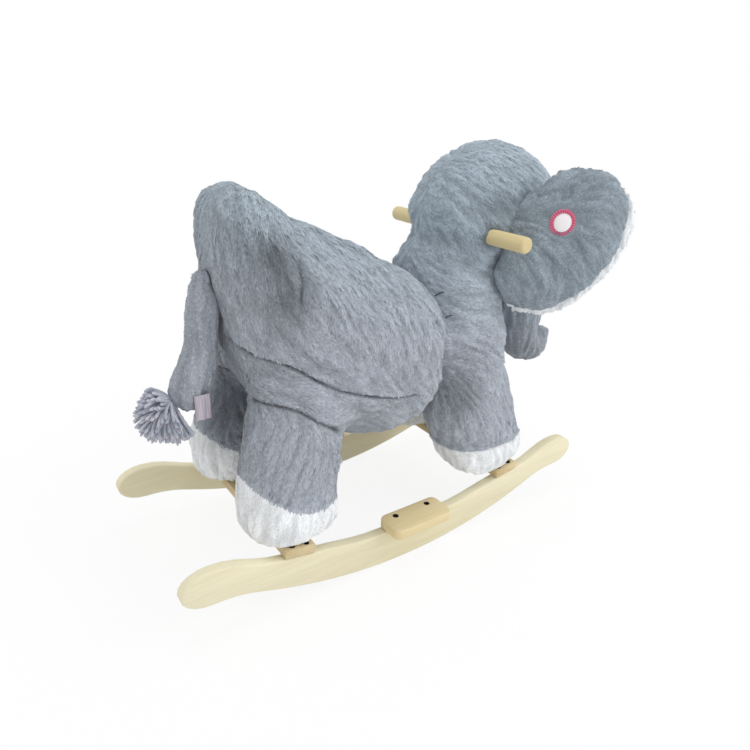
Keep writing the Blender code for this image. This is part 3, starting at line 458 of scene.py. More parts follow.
# Fills all skins at once: cloth with pressure inside, held where the pieces are sewn together
def fillSkins(skins):
    for made in skins.values():
        cloth = made.modifiers.new("cloth", "CLOTH")
        cloth.settings.use_pressure = True
        cloth.settings.uniform_pressure_force = filling["pressure"]
        cloth.settings.shrink_min = filling["slack"]
        cloth.settings.effector_weights.gravity = 0
        cloth.settings.vertex_group_mass = "sewn"
        cloth.settings.quality = filling["quality"]
        cloth.collision_settings.use_collision = False
        cloth.point_cache.frame_start, cloth.point_cache.frame_end = 1, filling["frames"]
    for step in range(1, filling["frames"] + 1):
        bpy.context.scene.frame_set(step)
    for made in skins.values():
        start = meshArrays(made.data)[0]
        applyModifiers(made)
        move = meshArrays(made.data)[0] - start
        far = np.linalg.norm(move, axis=1, keepdims=True)
        setPoints(made.data, start + move * np.minimum(1, filling["swell"] / np.maximum(far, 1e-9)))
    bpy.context.scene.frame_set(1)


skins = {group: limpSkin(group) for group in groups}
fillSkins(skins)
say("the stuffing is in")

# How each piece's plush lies. Places are on the right side, and the left mirrors them.
# tone: its lightness. pile: place, direction, reach. seams: path, width, depth, dark (painted shade along its
# groove), fade.
# dents: place, reach along X, Y and Z, depth, dark (painted shade in it; below 0, painted light). caps:
# place, reach, height.
# short: place, reach, how much shorter the tufts are. lumps: their height.
flankSeams = (
    (
        ((-0.224, 0.311), (-0.2169, 0.3078), (-0.2061, 0.3), (-0.1759, 0.284), (-0.1537, 0.268))
        + ((-0.1282, 0.254), (-0.1031, 0.2444), (-0.0756, 0.2356), (-0.0422, 0.2304), (-0.022, 0.23)),
        0.0018, 0.0026, 0.75, 0.06,
    ),
    (
        ((-0.229, 0.251), (-0.2003, 0.2485), (-0.1821, 0.2408), (-0.1657, 0.2281), (-0.125, 0.1985)),
        0.002, 0.0028, 0.75, 0.06,
    ),
    (
        ((-0.1621, 0.4181), (-0.1722, 0.4037), (-0.1767, 0.3763), (-0.1781, 0.3588), (-0.1798, 0.3366)),
        0.002, 0.0015, 0.55, 0.45,
    ),
    (((-0.164, 0.405), (-0.156, 0.395), (-0.1555, 0.385), (-0.158, 0.373)), 0.0022, 0.001, 0.22, 0.4),
    (((-0.154, 0.406), (-0.14, 0.395), (-0.1345, 0.383)), 0.0022, 0.0009, 0.18, 0.4),
    (((-0.16, 0.376), (-0.154, 0.364), (-0.15, 0.35)), 0.0022, 0.0008, 0.15, 0.4),
)
flankPile = (
    ((-0.22, -0.03, 0.47), (-0.5, -0.8, -0.3), 0.05),
    ((-0.24, -0.01, 0.4), (0.0, 0.0, -1.0), 0.05),
    ((-0.12, -0.04, 0.42), (0.6, -0.7, -0.4), 0.07),
    ((-0.21, -0.08, 0.38), (0.05, 0.0, -1.0), 0.05),
    ((-0.14, -0.1, 0.35), (0.45, 0.0, -0.9), 0.05),
    ((-0.05, -0.11, 0.31), (0.3, 0.0, -1.0), 0.06),
    ((-0.18, -0.1, 0.315), (0.7, 0.0, -0.7), 0.03),
    ((-0.18, -0.1, 0.265), (0.9, 0.0, -0.4), 0.04),
    ((-0.11, -0.1, 0.225), (1.0, 0.0, -0.3), 0.04),
    ((-0.03, -0.1, 0.2), (0.7, 0.0, -0.6), 0.05),
    ((-0.1, 0.0, 0.15), (1.0, 0.0, 0.0), 0.05),
    ((-0.21, -0.11, 0.2), (-0.6, 0.0, -0.8), 0.04),
    ((-0.18, -0.12, 0.15), (-0.2, 0.0, -1.0), 0.04),
)
earSeams = (
    (
        ((0.154, 0.4424), (0.1631, 0.4454), (0.1772, 0.4469), (0.2075, 0.4475), (0.2295, 0.4476)),
        0.0032, -0.0016, 0.0, 0.2,
    ),
    (((0.156, 0.433), (0.17, 0.437), (0.185, 0.439)), 0.005, 0.0012, 0.12, 0.3),
    (((0.156, 0.414), (0.1675, 0.4106), (0.1747, 0.4033), (0.1813, 0.3933)), 0.0026, 0.0009, 0.12, 0.3),
    (((0.1928, 0.4114), (0.2022, 0.4052), (0.2097, 0.395), (0.2092, 0.3832)), 0.0026, 0.0009, 0.14, 0.3),
    (
        ((0.15, 0.393), (0.1717, 0.3785), (0.1814, 0.3681), (0.1889, 0.3588), (0.196, 0.345)),
        0.006, 0.0028, 0.18, 0.2,
    ),
)
looks = {
    "body": {
        "pile": flankPile,
        "caps": (((0.034, -0.062, 0.27), (0.012, 0.016, 0.014), 0.007),),  # over the seat board's corner
        "short": (((-0.185, -0.01, 0.455), (0.075, 0.055, 0.035), 0.55),),
        "seams": flankSeams,
        "dents": (
            ((-0.16, -0.02, 0.44), (0.035, 0.06, 0.03), 0.006, 0.0),
            ((-0.1, -0.02, 0.405), (0.045, 0.06, 0.03), 0.005, 0.0),
            ((-0.035, -0.02, 0.38), (0.045, 0.06, 0.03), 0.006, 0.0),
            ((-0.25, -0.02, 0.365), (0.03, 0.05, 0.035), -0.004, 0.0),
            ((-0.198, -0.088, 0.415), (0.024, 0.04, 0.024), 0.006, 0.56),
            ((-0.194, -0.092, 0.37), (0.02, 0.04, 0.04), 0.005, 0.46),
            ((-0.208, -0.055, 0.278), (0.03, 0.032, 0.028), -0.008, 0.0),
            ((-0.218, -0.035, 0.3), (0.03, 0.03, 0.035), -0.005, 0.0),
            ((-0.165, -0.115, 0.09), (0.05, 0.03, 0.03), -0.0045, 0.0),
            ((-0.214, -0.095, 0.104), (0.03, 0.06, 0.034), -0.0085, 0.0),
            ((-0.24, -0.072, 0.2), (0.03, 0.04, 0.034), 0.006, 0.0),
            ((-0.24, -0.05, 0.4), (0.04, 0.05, 0.05), 0.0, 0.12),
            ((-0.17, -0.094, 0.404), (0.01, 0.03, 0.02), 0.001, 0.1),
            ((-0.16, -0.098, 0.385), (0.012, 0.04, 0.03), -0.004, -0.04),
            ((-0.15, -0.102, 0.35), (0.006, 0.04, 0.026), 0.0016, 0.08),
            ((-0.138, -0.102, 0.345), (0.006, 0.04, 0.024), -0.0016, 0.0),
            # painted shade under the tail and between the hind legs, with no dent
            ((-0.24, 0.0, 0.29), (0.03, 0.03, 0.05), 0.0, 0.4),
            ((-0.21, -0.035, 0.2), (0.06, 0.03, 0.06), 0.0, 0.6),
        ),
        "lumps": 0.0022,
    },
    "neck": {
        "tone": 1.08,
        "caps": (((0.043, -0.069, 0.27), (0.013, 0.016, 0.016), 0.011),),  # over the seat board's corner
        "seams": (
            (
                ((0.0555, -0.0131, 0.4118), (0.0582, -0.0284, 0.4078), (0.0655, -0.0415, 0.4083))
                + ((0.0744, -0.0496, 0.4153), (0.0752, -0.0485, 0.4312)),
                0.0028, 0.0014, 0.35, 0.3,
            ),
        ),
        "pile": (
            ((0.08, -0.08, 0.3), (0.95, 0.0, -0.25), 0.06),
            ((0.06, -0.03, 0.37), (0.5, -0.6, -0.6), 0.03),
            ((0.1, -0.1, 0.24), (0.7, 0.0, -0.7), 0.03),
            ((0.1, -0.11, 0.19), (0.6, 0.0, -0.8), 0.04),
            ((0.1, -0.11, 0.14), (0.3, 0.0, -1.0), 0.05),
            ((0.1, -0.04, 0.48), (0.6, -0.5, -0.6), 0.06),
            ((0.15, -0.07, 0.45), (0.7, 0.0, -0.7), 0.05),
            ((0.06, -0.02, 0.42), (0.3, -0.5, -0.8), 0.04),
            ((0.066, -0.03, 0.425), (-0.4, 0.2, 2.0), 0.012),
            ((0.24, -0.07, 0.42), (0.6, 0.0, -0.8), 0.06),
            ((0.18, 0.0, 0.28), (0.2, 0.0, -1.0), 0.05),
        ),
        "dents": (
            ((0.06, -0.105, 0.205), (0.03, 0.04, 0.04), 0.002, 0.36),
            ((0.062, -0.05, 0.372), (0.03, 0.04, 0.016), 0.0025, 0.2),
            ((0.063, -0.031, 0.43), (0.014, 0.02, 0.015), -0.0036, -0.05),
            ((0.112, -0.062, 0.44), (0.034, 0.03, 0.026), 0.002, 0.26),
            ((0.15, -0.072, 0.45), (0.03, 0.03, 0.02), 0.001, 0.1),
            ((0.062, -0.04, 0.398), (0.02, 0.03, 0.01), 0.002, 0.2),
            # painted shade on the neck behind the ear's edge
            ((0.136, -0.07, 0.365), (0.01, 0.03, 0.03), 0.002, 0.45),
            ((0.185, -0.05, 0.27), (0.035, 0.05, 0.045), 0.01, 0.0),
            ((0.172, -0.1, 0.16), (0.025, 0.04, 0.022), -0.003, 0.0),
            ((0.014, -0.11, 0.15), (0.02, 0.05, 0.025), 0.004, 0.0),
            ((0.125, -0.071, 0.442), (0.018, 0.03, 0.016), 0.0, 0.3),
            ((0.047, -0.096, 0.196), (0.02, 0.03, 0.025), 0.0, 0.2),
            ((0.11, -0.07, 0.402), (0.03, 0.03, 0.022), -0.005, 0.0),
        ),
        "lumps": 0.0014,
    },
    "trunk": {
        "pile": (((0.28, -0.03, 0.3), (0.1, 0.0, -1.0), 1.0),),
        "dents": (((0.27, -0.02, 0.2), (0.08, 0.08, 0.07), 0.0, 0.2),),
        "lumps": 0.0012,
    },
    "tail": {
        "pile": (((-0.26, -0.03, 0.3), (-0.1, 0.0, -1.0), 1.0),),
        "dents": (((-0.262, -0.02, 0.247), (0.014, 0.02, 0.014), 0.004, 0.0),),
        "lumps": 0.0012,
    },
    "lining": {"pile": (((0.2, -0.12, 0.36), (0.2, 0.0, -1.0), 1.0),), "lumps": 0.0014},
    "ear": {
        # the ear is darker all over: painted shade
        "tone": 0.84,
        "seams": earSeams,
        "pile": (
            ((0.14, -0.08, 0.4), (0.8, -0.4, -0.3), 0.05),
            ((0.2, -0.12, 0.46), (0.6, -0.3, 0.5), 0.04),
            ((0.24, -0.14, 0.4), (0.7, -0.4, -0.6), 0.05),
            ((0.18, -0.11, 0.33), (0.3, -0.1, -1.0), 0.05),
        ),
        "dents": (
            ((0.155, -0.1, 0.352), (0.026, 0.04, 0.026), -0.004, -0.06),
            ((0.205, -0.135, 0.37), (0.03, 0.04, 0.024), 0.002, 0.08),
            ((0.2, -0.12, 0.462), (0.03, 0.04, 0.014), 0.001, 0.1),
        ),
        "lumps": 0.0026,
    },
    "foot": {
        "pile": (((0.0, -0.1, 0.1), (0.1, 0.0, -1.0), 1.0),),
        "dents": (((0.1, -0.115, 0.084), (0.05, 0.03, 0.026), -0.009, 0.0),),
        "lumps": 0.001,
    },
}
coats = {  # tufts in metres, their lean and turn in radians, and how much their light varies
    "grey": {
        "length": 0.0080, "width": 0.0021, "ridge": 0.00038, "tip": 0.0003,
        "lean": 0.07, "turn": 0.18, "swirl": 0.38, "vary": 0.10,
    },
    "white": {
        "length": 0.0055, "width": 0.0022, "ridge": 0.00022, "tip": 0.0002,
        "lean": 0.07, "turn": 0.25, "swirl": 0.40, "vary": 0.04,
    },
}
coatLength = {"trunk": 0.6, "tail": 0.75, "ear": 0.62}
tufts = {
    "perArea": 280000,
    "length": (0.7, 1.25),  # these four are shares of the coat's values
    "width": (0.35, 0.65),
    "lean": (0.4, 1.6),
    "tip": (-0.6, 1.4),
    "root": 0.0006,  # how deep a tuft starts
    "widest": 0.40,  # where along it
    "clear": 0.9,  # of its distance to a hard piece, the most that its length may be
    "least": 0.002,  # metres that it may always be
    "apart": 0.0005,  # none grows nearer to another piece
    "capRoom": 0.0055,  # or nearer to the press patch's cap, which travels
    "bright": 1.4,  # the light at the UV map's end
}
clump = {"width": 0.0050, "length": 0.020, "height": 0.0008, "light": 0.08}  # light: how much lighter its raised streaks are and darker its grooves, the pile's own streaks with painted shade in the grooves
noiseSize = {"lump": 0.034, "swirl": 0.011}  # in the skin's lumps and in the tufts' turns
meeting = {  # what the skin does near another piece, by its distance in metres
    "push": (0.0004, 0.004),  # where its lumps and folds come in
    "cover": (0.002, 0.012),  # where its tufts reach their full length
    "least": (0.45, 0.90),  # the share of it that they have at the seam, low down and high up
    "high": (0.400, 0.415),  # heights between which that changes, so that the ear's upper seam is covered
    "middle": (0.6, 0.03),  # their share on the middle line, and how far that reaches
    "cuff": (0.5, 0.008),  # their share at a cuff's edge, and how far
    "handle": (0.5, 0.008),  # painted shadow of the handle: how much darker the skin is painted near it, and how far
}
cuffEdge = {"height": 0.1180, "front": -0.15, "rise": 5.0, "blur": 0.002}  # of a hind leg's cuff


# Directions laid in the surface
def laidIn(ways, normals):
    ways = ways - (ways * normals).sum(1)[:, None] * normals
    return ways / np.maximum(np.linalg.norm(ways, axis=1, keepdims=True), 1e-9)


# The same places on the right side
def onRight(points):
    near = points.copy()
    near[:, 1] = -np.abs(near[:, 1])
    return near


# A bell curve of the distance: exp(-(distance / reach)^2)
def bell(away, reach):
    return np.exp(-((away / reach) ** 2))


# The same curve round a place, its reach given along X, Y and Z
def blob(near, place, reach):
    return np.exp(-(((near - place) / reach) ** 2).sum(1))


# The pile's direction: the guides' directions, weighted by nearness as exp(-(distance / reach)^2),
# laid in the surface
def pileFlow(points, normals, guides):
    near = onRight(points)
    total = np.full_like(points, 1e-6)
    for place, way, reach in guides:
        total += np.exp(-((near - place) ** 2).sum(1) / reach**2)[:, None] * np.array(way)
    total[:, 1] *= -np.tanh(points[:, 1] / 0.02)
    return laidIn(total, normals)


# A smooth path through a few places: a Catmull-Rom curve, as rows
def smoothPath(places, steps=12):
    rows = np.array(places, float)
    ends = np.vstack([2 * rows[0] - rows[1], rows, 2 * rows[-1] - rows[-2]])
    a, b, c, d = ends[:-3], ends[1:-2], ends[2:-1], ends[3:]
    t = (np.arange(steps) / steps)[:, None, None]
    made = b + 0.5 * (c - a) * t + (a - 2.5 * b + 2 * c - 0.5 * d) * t**2 + 0.5 * (3 * (b - c) + d - a) * t**3
    return np.vstack([made.transpose(1, 0, 2).reshape(-1, rows.shape[1]), rows[-1:]])


# Distance to a path, and how far along it the nearest place is, from 0 to 1
def alongPath(points, path):
    best = np.full(len(points), 9.0)
    share = np.zeros(len(points))
    for i, (a, b) in enumerate(zip(path, path[1:])):
        way = b - a
        t = np.clip((points - a) @ way / (way @ way), 0, 1)
        away = np.linalg.norm(points - a - t[:, None] * way, axis=1)
        share = np.where(away < best, (i + t) / (len(path) - 1), share)
        best = np.minimum(best, away)
    return best, share


# How far each point is above the lower edge of a hind leg's cuff,
# which is level in front and rises with the square of the way to the rear
def aboveCuff(points):
    rear = np.minimum(points[:, 0] - cuffEdge["front"], 0)
    return points[:, 2] - (cuffEdge["height"] + cuffEdge["rise"] * rear**2)


# The skin's own marks: how far its seams, dents and lumps push each point out, its shade, which holds painted
# shade in the seams and dents and painted light on a few bulges, and its cover, the share of their length
# that its tufts have
def skinMarks(points, normals, look, seed):
    near = onRight(points)
    shade = np.full(len(points), look.get("tone", 1.0))
    cover = np.ones(len(points))
    push = look["lumps"] * latticeNoise(points / noiseSize["lump"], seed)
    for path, width, depth, dark, fade in look.get("seams", ()):
        flat = len(path[0]) == 2  # a path given by X and Z runs over the piece's sides
        away, share = alongPath(near[:, [0, 2]] if flat else near, smoothPath(path))
        ends = smoothStep(share, 0, fade) * smoothStep(1 - share, 0, fade)
        ends *= smoothStep(np.abs(normals[:, 1]), 0.05, 0.2) if flat else 1
        line = bell(away, width) * ends
        push -= depth * line
        # painted shade along the seam's groove
        shade *= 1 - dark * line
        cover *= 1 - dark * bell(away, 2 * width) * ends
    for place, reach, depth, dark in look.get("dents", ()):
        push -= depth * blob(near, place, reach)
        # painted shade in the dent, painted light where dark is below 0
        shade *= 1 - dark * blob(near, place, reach)
    for place, reach, less in look.get("short", ()):
        cover *= 1 - less * blob(near, place, reach)
    return push, shade, cover


# The finished skin: one more subdivision, then its marks, what its neighbours do to it, and clumps of pile.
# Gives each point's place, normal, pile direction, shade (with its painted shade and light) and cover.
def finishSkin(made, members, look, seed):
    finer = made.modifiers.new("finer", "SUBSURF")
    finer.levels = finer.render_levels = 1
    applyModifiers(made)
    points, normals, _ = meshArrays(made.data)
    flow = pileFlow(points, normals, look["pile"])
    push, shade, cover = skinMarks(points, normals, look, seed)
    # painted shadow on the skin near the handle
    dark, reach = meeting["handle"]
    shade *= 1 - dark * bell(distanceTo(points, ["handle"], 0.03), reach)
    if "hind_foot_right" in members:
        least, reach = meeting["cuff"]
        cover *= least + (1 - least) * smoothStep(np.abs(aboveCuff(points)), 0, reach)
    streak = np.clip(streaks(points, flow, clump["width"], clump["length"], seed), -2, 2)
    away = distanceTo(points, neighboursOf(members), 0.014)
    low, high = meeting["least"]
    least = low + (high - low) * smoothStep(points[:, 2], *meeting["high"])
    cover *= least + (1 - least) * smoothStep(away, *meeting["cover"])
    least, reach = meeting["middle"]
    cover *= least + (1 - least) * smoothStep(np.abs(points[:, 1]), 0.0, reach)
    push = (push + clump["height"] * streak) * (0.1 + 0.9 * smoothStep(away, *meeting["push"]))
    for place, reach, height in look.get("caps", ()):
        push += height * blob(onRight(points), place, reach)
    setPoints(made.data, points + push[:, None] * normals)
    points, normals, _ = meshArrays(made.data)
    # the clumps' streaks: the pile's own streaks, with painted shade in their grooves
    return points, normals, laidIn(flow, normals), shade * (1 + clump["light"] * streak), cover


# A group's skin comes apart again into its pieces, by the CAD solid that each face is nearest to,
# and their mouths are closed. Gives each piece's object, its faces, and which of the group's points it has.
def partsOf(made, members, points):
    corners = np.zeros(4 * len(made.data.polygons), np.int32)
    made.data.polygons.foreach_get("vertices", corners)
    corners = corners.reshape(-1, 4)
    if len(members) == 1:
        made.name = members[0] + "_plush"
        return {members[0]: (made, corners, np.arange(len(points)))}
    middle = points[corners].mean(axis=1)
    nearest = np.argmin([distanceTo(middle, [name], 0.08) for name in members], axis=0)
    parts = {}
    for index, name in enumerate(members):
        mine = corners[nearest == index]
        used, renumbered = np.unique(mine, return_inverse=True)
        mesh = smoothMesh(name + "_plush", points[used], renumbered.reshape(-1, 4).tolist())
        bm = bmesh.new()
        bm.from_mesh(mesh)
        rim = [edge for edge in bm.edges if edge.is_boundary]
        bmesh.ops.holes_fill(bm, edges=rim)
        for edge in rim:
            edge.smooth = False
        bm.to_mesh(mesh)
        bm.free()
        parts[name] = newObject(name + "_plush", mesh), mine, used
    bpy.data.objects.remove(made)
    return parts


# Tufts of fur, spread evenly: each a slim leaf with a ridge that lies along the pile, from its buried root
# to its tip. The UV map holds across its light, the skin's shade with its painted shade, varied at random,
# and upwards its height; its colour follows from them.
def furOn(name, part, corners, surface, coat, finish, seed):
    corners = np.vstack([corners[:, :3], corners[:, (0, 2, 3)]])
    sides = surface[0][corners[:, 1:]] - surface[0][corners[:, :1]]
    area = np.linalg.norm(np.cross(sides[:, 0], sides[:, 1]), axis=1).cumsum() / 2
    chance = np.random.default_rng(seed)
    count = int(area[-1] * tufts["perArea"])
    spots = (np.arange(count) + chance.random(count)) / count * area[-1]
    pick = corners[np.searchsorted(area, spots).clip(0, len(area) - 1)]
    share = chance.dirichlet((1, 1, 1), count)
    at, up, along = ((value[pick] * share[:, :, None]).sum(1) for value in surface[:3])
    level, cover = ((value[pick] * share).sum(1) for value in surface[3:])
    keep = distanceTo(at, neighboursOf([name]), 0.01) > tufts["apart"]
    keep &= distanceTo(at, ["sound_button"], 0.01) > tufts["capRoom"]
    at, up, along, level, cover = at[keep], up[keep], along[keep], level[keep], cover[keep]
    count = len(at)
    up /= np.linalg.norm(up, axis=1, keepdims=True)
    along = laidIn(along, up)
    swirl = latticeNoise(at / noiseSize["swirl"], seed)
    turn = (coat["turn"] * chance.normal(size=count) + coat["swirl"] * swirl)[:, None]
    along = np.cos(turn) * along + np.sin(turn) * np.cross(up, along)
    across = np.cross(up, along)
    length = coat["length"] * coatLength.get(name.split("_")[0], 1.0)
    length = length * chance.uniform(*tufts["length"], count)
    room = np.maximum(tufts["clear"] * distanceTo(at, hardNodes, 0.016), tufts["least"])
    length = (np.minimum(length, room) * cover)[:, None]
    wide = coat["width"] * chance.uniform(*tufts["width"], (count, 1))
    lean = coat["lean"] * chance.uniform(*tufts["lean"], (count, 1))
    middle = at + tufts["widest"] * length * (np.cos(lean) * along + np.sin(lean) * up)
    tip = at + length * along + coat["tip"] * chance.uniform(*tufts["tip"], (count, 1)) * up
    root, ridge = at - tufts["root"] * up, middle + coat["ridge"] * up
    places = np.stack((root, middle - wide * across, ridge, middle + wide * across, tip), 1).reshape(-1, 3)
    leaf = np.array(((0, 2, 1), (0, 3, 2), (1, 2, 4), (2, 3, 4)))
    faces = (5 * np.arange(count)[:, None, None] + leaf).reshape(-1, 3)
    fur = smoothMesh(f"{name}_{part}", places, faces.tolist())
    light = np.clip(level * chance.normal(1.0, coat["vary"], count) / tufts["bright"], 0.02, 0.98)[:, None]
    light = light + 0.004 * np.array((0, -1, 0, 1, 0))  # a leaf's corners lie apart on the map
    uv = np.stack([light, np.tile((0.05, 0.45, 0.5, 0.45, 0.95), (count, 1))], 2)
    layer = fur.uv_layers.new(name="OFBake")
    layer.data.foreach_set("uv", uv.reshape(-1, 2)[faces.ravel()].astype(np.float32).ravel())
    fur.materials.append(finish)
    return newObject(fur.name, fur)


# A piece's fur is made in parts: the body's two sides, and the grey cuff that hangs over a hind foot
def furParts(name, shade, corners, points):
    middle = points[corners].mean(axis=1)
    if name == "body":
        return {"fur_" + side: (shade, corners[sign * middle[:, 1] > 0]) for sign, side in bothSides}
    if "hind_foot" in name:
        above = aboveCuff(middle) > 0
        return {"fur": (shade, corners[~above]), "cuff": ("grey", corners[above])}
    return {"fur": (shade, corners)}


earSewing = {
    "reach": 0.05,
    "facing": (0.1, 0.7),  # how far a point must face the head to be drawn
    "gap": (0.010, 0.022),  # drawn from this near, and left alone from this far
    "draw": 1.15,  # how far, as a share of the gap
}
earHinge = {
    "place": (0.14424, 0.082, 0.400),  # on the left
    "turn": 30,  # degrees that the ear stands out from straight ahead
    "before": 0.010,  # these two: how far before the hinge, and how far after it
    "after": 0.026,
}


# The ear's root is drawn onto the head and neck, over the wedge that it needs to bend
def sewEar(made):
    points, normals, edges = meshArrays(made.data)
    reach = earSewing["reach"]
    lookup = solidTree(["head", "neck"]).find_nearest
    found = [lookup(point, reach)[0] for point in points]
    pairs = zip(found, points)
    way = np.array([tuple(place - Vector(point)) if place else (0, 0, reach) for place, point in pairs])
    away = np.linalg.norm(way, axis=1)
    facing = (way * normals).sum(1) / np.maximum(away, 1e-9)
    share = smoothStep(facing, *earSewing["facing"]) * (1 - smoothStep(away, *earSewing["gap"]))
    share = relaxed(np.stack([share] * 3, 1), edges, np.ones(len(points)) * 0.5, 6)[:, 0]
    moved = points + (share * earSewing["draw"])[:, None] * way
    setPoints(made.data, relaxed(moved, edges, 0.5 * smoothStep(share, 0, 0.3), 3))


def earBend(made, side):
    sign = 1 if side == "left" else -1
    x, y, z = earHinge["place"]
    turn = math.radians(earHinge["turn"])
    hinge = Vector((x, sign * y, z))
    out = Vector((math.cos(turn), sign * math.sin(turn), 0))
    side + "_ear"
    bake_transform(made)


plushColours = {  # root, tip
    "grey": ((0.275, 0.302, 0.347), (0.44, 0.473, 0.530)),
    "white": ((0.78, 0.80, 0.82), (0.91, 0.93, 0.95)),
}
sheen = {"Sheen_Weight": 0.25, "Sheen_Roughness": 0.5, "Specular_IOR_Level": 0.1}
cool = {"from": 0.28, "to": 0.42, "forward": 0.3, "tint": (0.92, 1.01, 1.02)}


# The higher, front pieces of grey are a little cooler in colour
def cooled(sheet, colour, shade):
    if shade == "white":
        return colour
    place = sheet.objectPlace()
    height = sheet.axis(place, "Z") + sheet.axis(place, "X") * cool["forward"]
    tint = sheet.blend(height.within(cool["from"], cool["to"]), white, cool["tint"])
    return sheet.blend(1.0, colour, tint, "MULTIPLY")


def skinFinish(shade, root, tip):
    sheet = Sheet(shade + "_skin")
    hairs = sheet.noise(sheet.objectPlace(), 420, 3.0, 0.6)
    # the shade attribute holds painted shade and light from the seams, dents, handle and clumps
    light = sheet.attribute("shade") * (0.7 + hairs * 0.5)
    colour = sheet.blend(0.45, root, tip)
    if shade == "white":
        colour = sheet.blend(sheet.attribute("cuff"), colour, plushColours["grey"][0])
    colour = cooled(sheet, sheet.lit(colour, light), shade)
    return sheet.surface(colour, 0.95, sheet.bump(hairs, 0.6, 0.0015), **sheen)


def furFinish(shade, root, tip):
    sheet = Sheet(shade + "_fur")
    place = sheet.node("ShaderNodeUVMap", {"uv_map": "OFBake"})
    colour = sheet.blend(sheet.axis(place, "Y").within(0.0, 1.0), root, tip)
    colour = sheet.lit(colour, sheet.axis(place, "X") * tufts["bright"])
    return sheet.surface(cooled(sheet, colour, shade), 0.9, None, **sheen)


hardNodes = ["handle", "runner_left", "runner_right", "front_cross_board", "rear_cross_board"]
hardNodes += ["eye_left", "eye_right", "patch_ring", "care_label"]
skinFinishes = {shade: skinFinish(shade, *pair) for shade, pair in plushColours.items()}
furFinishes = {shade: furFinish(shade, *pair) for shade, pair in plushColours.items()}


# A group's skin and fur, its materials, and what each piece but an ear rides on
def dressGroup(group, made, seed):
    members = groups[group]
    if "ear" in group:
        sewEar(made)
    look = looks[next(kind for kind in looks if kind in group)]
    surface = finishSkin(made, members, look, 11 * seed)
    cuff = smoothStep(aboveCuff(surface[0]), -cuffEdge["blur"], cuffEdge["blur"])
    for number, (name, (piece, corners, used)) in enumerate(partsOf(made, members, surface[0]).items()):
        shade = "white" if "foot" in name or "lining" in name else "grey"
        soft = [piece]
        for part, (tone, mine) in furParts(name, shade, corners, surface[0]).items():
            draw = 10 * seed + number + len(soft)
            fur = furOn(name, part, mine, surface, coats[tone], furFinishes[tone], draw)
            tone + "_plush"
            soft.append(fur)
            say(f"{fur.name}: {len(fur.data.polygons)} faces")
        # the shade attribute carries the skin's painted shade and light
        for title, row in (("shade", surface[3]), ("cuff", cuff * ("hind_foot" in name))):
            mark = piece.data.attributes.new(title, "FLOAT", "POINT")
            mark.data.foreach_set("value", row[used].astype(np.float32))
        piece.data.materials.clear()
        piece.data.materials.append(skinFinishes[shade])
        shade + "_plush"
        for layer in soft:
            if "ear" in name:
                earBend(layer, name.split("_")[-1])
            else:
                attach(layer, "tail_swinging" if name == "tail" else "toy")
        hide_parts(name)


for seed, (group, made) in enumerate(skins.items()):
    dressGroup(group, made, seed)


# A smooth copy of a CAD solid, its edges broken by a small round
def smoothCopy(name, edge=0.0, angle=0.6):
    bm = solidMesh(name)
    for line in bm.edges:
        line.smooth = line.calc_face_angle(0.0) < angle
    mesh = meshFrom(bm, name)
    if edge:
        mesh.shade_smooth()
    made = newObject(name + "_finished", mesh)
    if edge:
        rounded = made.modifiers.new("broken edges", "BEVEL")
        rounded.width, rounded.segments = edge, 3
        rounded.limit_method, rounded.angle_limit = "ANGLE", angle
        rounded.harden_normals = True
    for face in mesh.polygons:
        face.use_smooth = True
    return made


# Pine: long soft figure and fine fibres along the grain
woods = {
    "pine": {"light": (0.84, 0.78, 0.56), "dark": (0.70, 0.60, 0.36), "figure": 0.45},
    "board_pine": {"light": (0.68, 0.56, 0.33), "dark": (0.50, 0.36, 0.17), "figure": 0.7},
    "footrest_pine": {"light": (0.84, 0.71, 0.42), "dark": (0.64, 0.48, 0.23), "figure": 0.6},
    "handle_pine": {"light": (0.70, 0.58, 0.31), "dark": (0.52, 0.39, 0.18), "figure": 0.4},
}
grainWays = {"x": (1.6, 30, 34), "y": (34, 1.6, 30), "z": (30, 34, 1.6)}


def woodFinish(kind, way):
    look = woods[kind]
    sheet = Sheet(f"{kind}_{way}")
    long = sheet.stretch(sheet.objectPlace(), *grainWays[way])
    figure = sheet.noise(long, 1.0, 3.0, 0.55)
    fibres = sheet.noise(sheet.stretch(long, 2.5, 2.5, 2.5), 6.0, 2.0)
    colour = sheet.blend(figure.within(0.35, 0.75) * look["figure"], look["light"], look["dark"])
    colour = sheet.lit(colour, 0.90 + fibres * 0.18)
    return sheet.surface(colour, 0.50 + fibres * 0.15, sheet.bump(fibres, 0.15, 0.0004))


def plainFinish(name, colour, roughness, **fixed):
    return Sheet(name).surface(colour, roughness, None, **fixed)


finishes = {
    "pine": woodFinish("pine", "x"),
    "board_pine": woodFinish("board_pine", "y"),
    "footrest": woodFinish("footrest_pine", "x"),
    "handle": woodFinish("handle_pine", "y"),
    "post": woodFinish("pine", "z"),
    "dark_screw": plainFinish("dark_screw_finish", (0.035, 0.032, 0.03), 0.42, Metallic=0.85),
    "steel": plainFinish("steel_finish", (0.55, 0.55, 0.56), 0.32, Metallic=1.0),
    "eye_black": plainFinish("eye_finish", (0.008, 0.008, 0.009), 0.06, Coat_Weight=1.0),
    "white_plastic": plainFinish("case_finish", (0.78, 0.78, 0.76), 0.42),
    "black_plastic": plainFinish("speaker_finish", (0.02, 0.02, 0.022), 0.5),
    "green_laminate": plainFinish("laminate_finish", (0.03, 0.20, 0.08), 0.45),
}
say("the finishes are mixed")


# Puts a finished copy in its CAD solid's place, in the slot that the solid has
def standIn(made, name, kind=None):
    slotName = nodes[name].data.materials[0].name
    made.data.materials.clear()
    made.data.materials.append(finishes.get(kind, finishes[slotName]))
    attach(made, "toy")
    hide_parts(name)


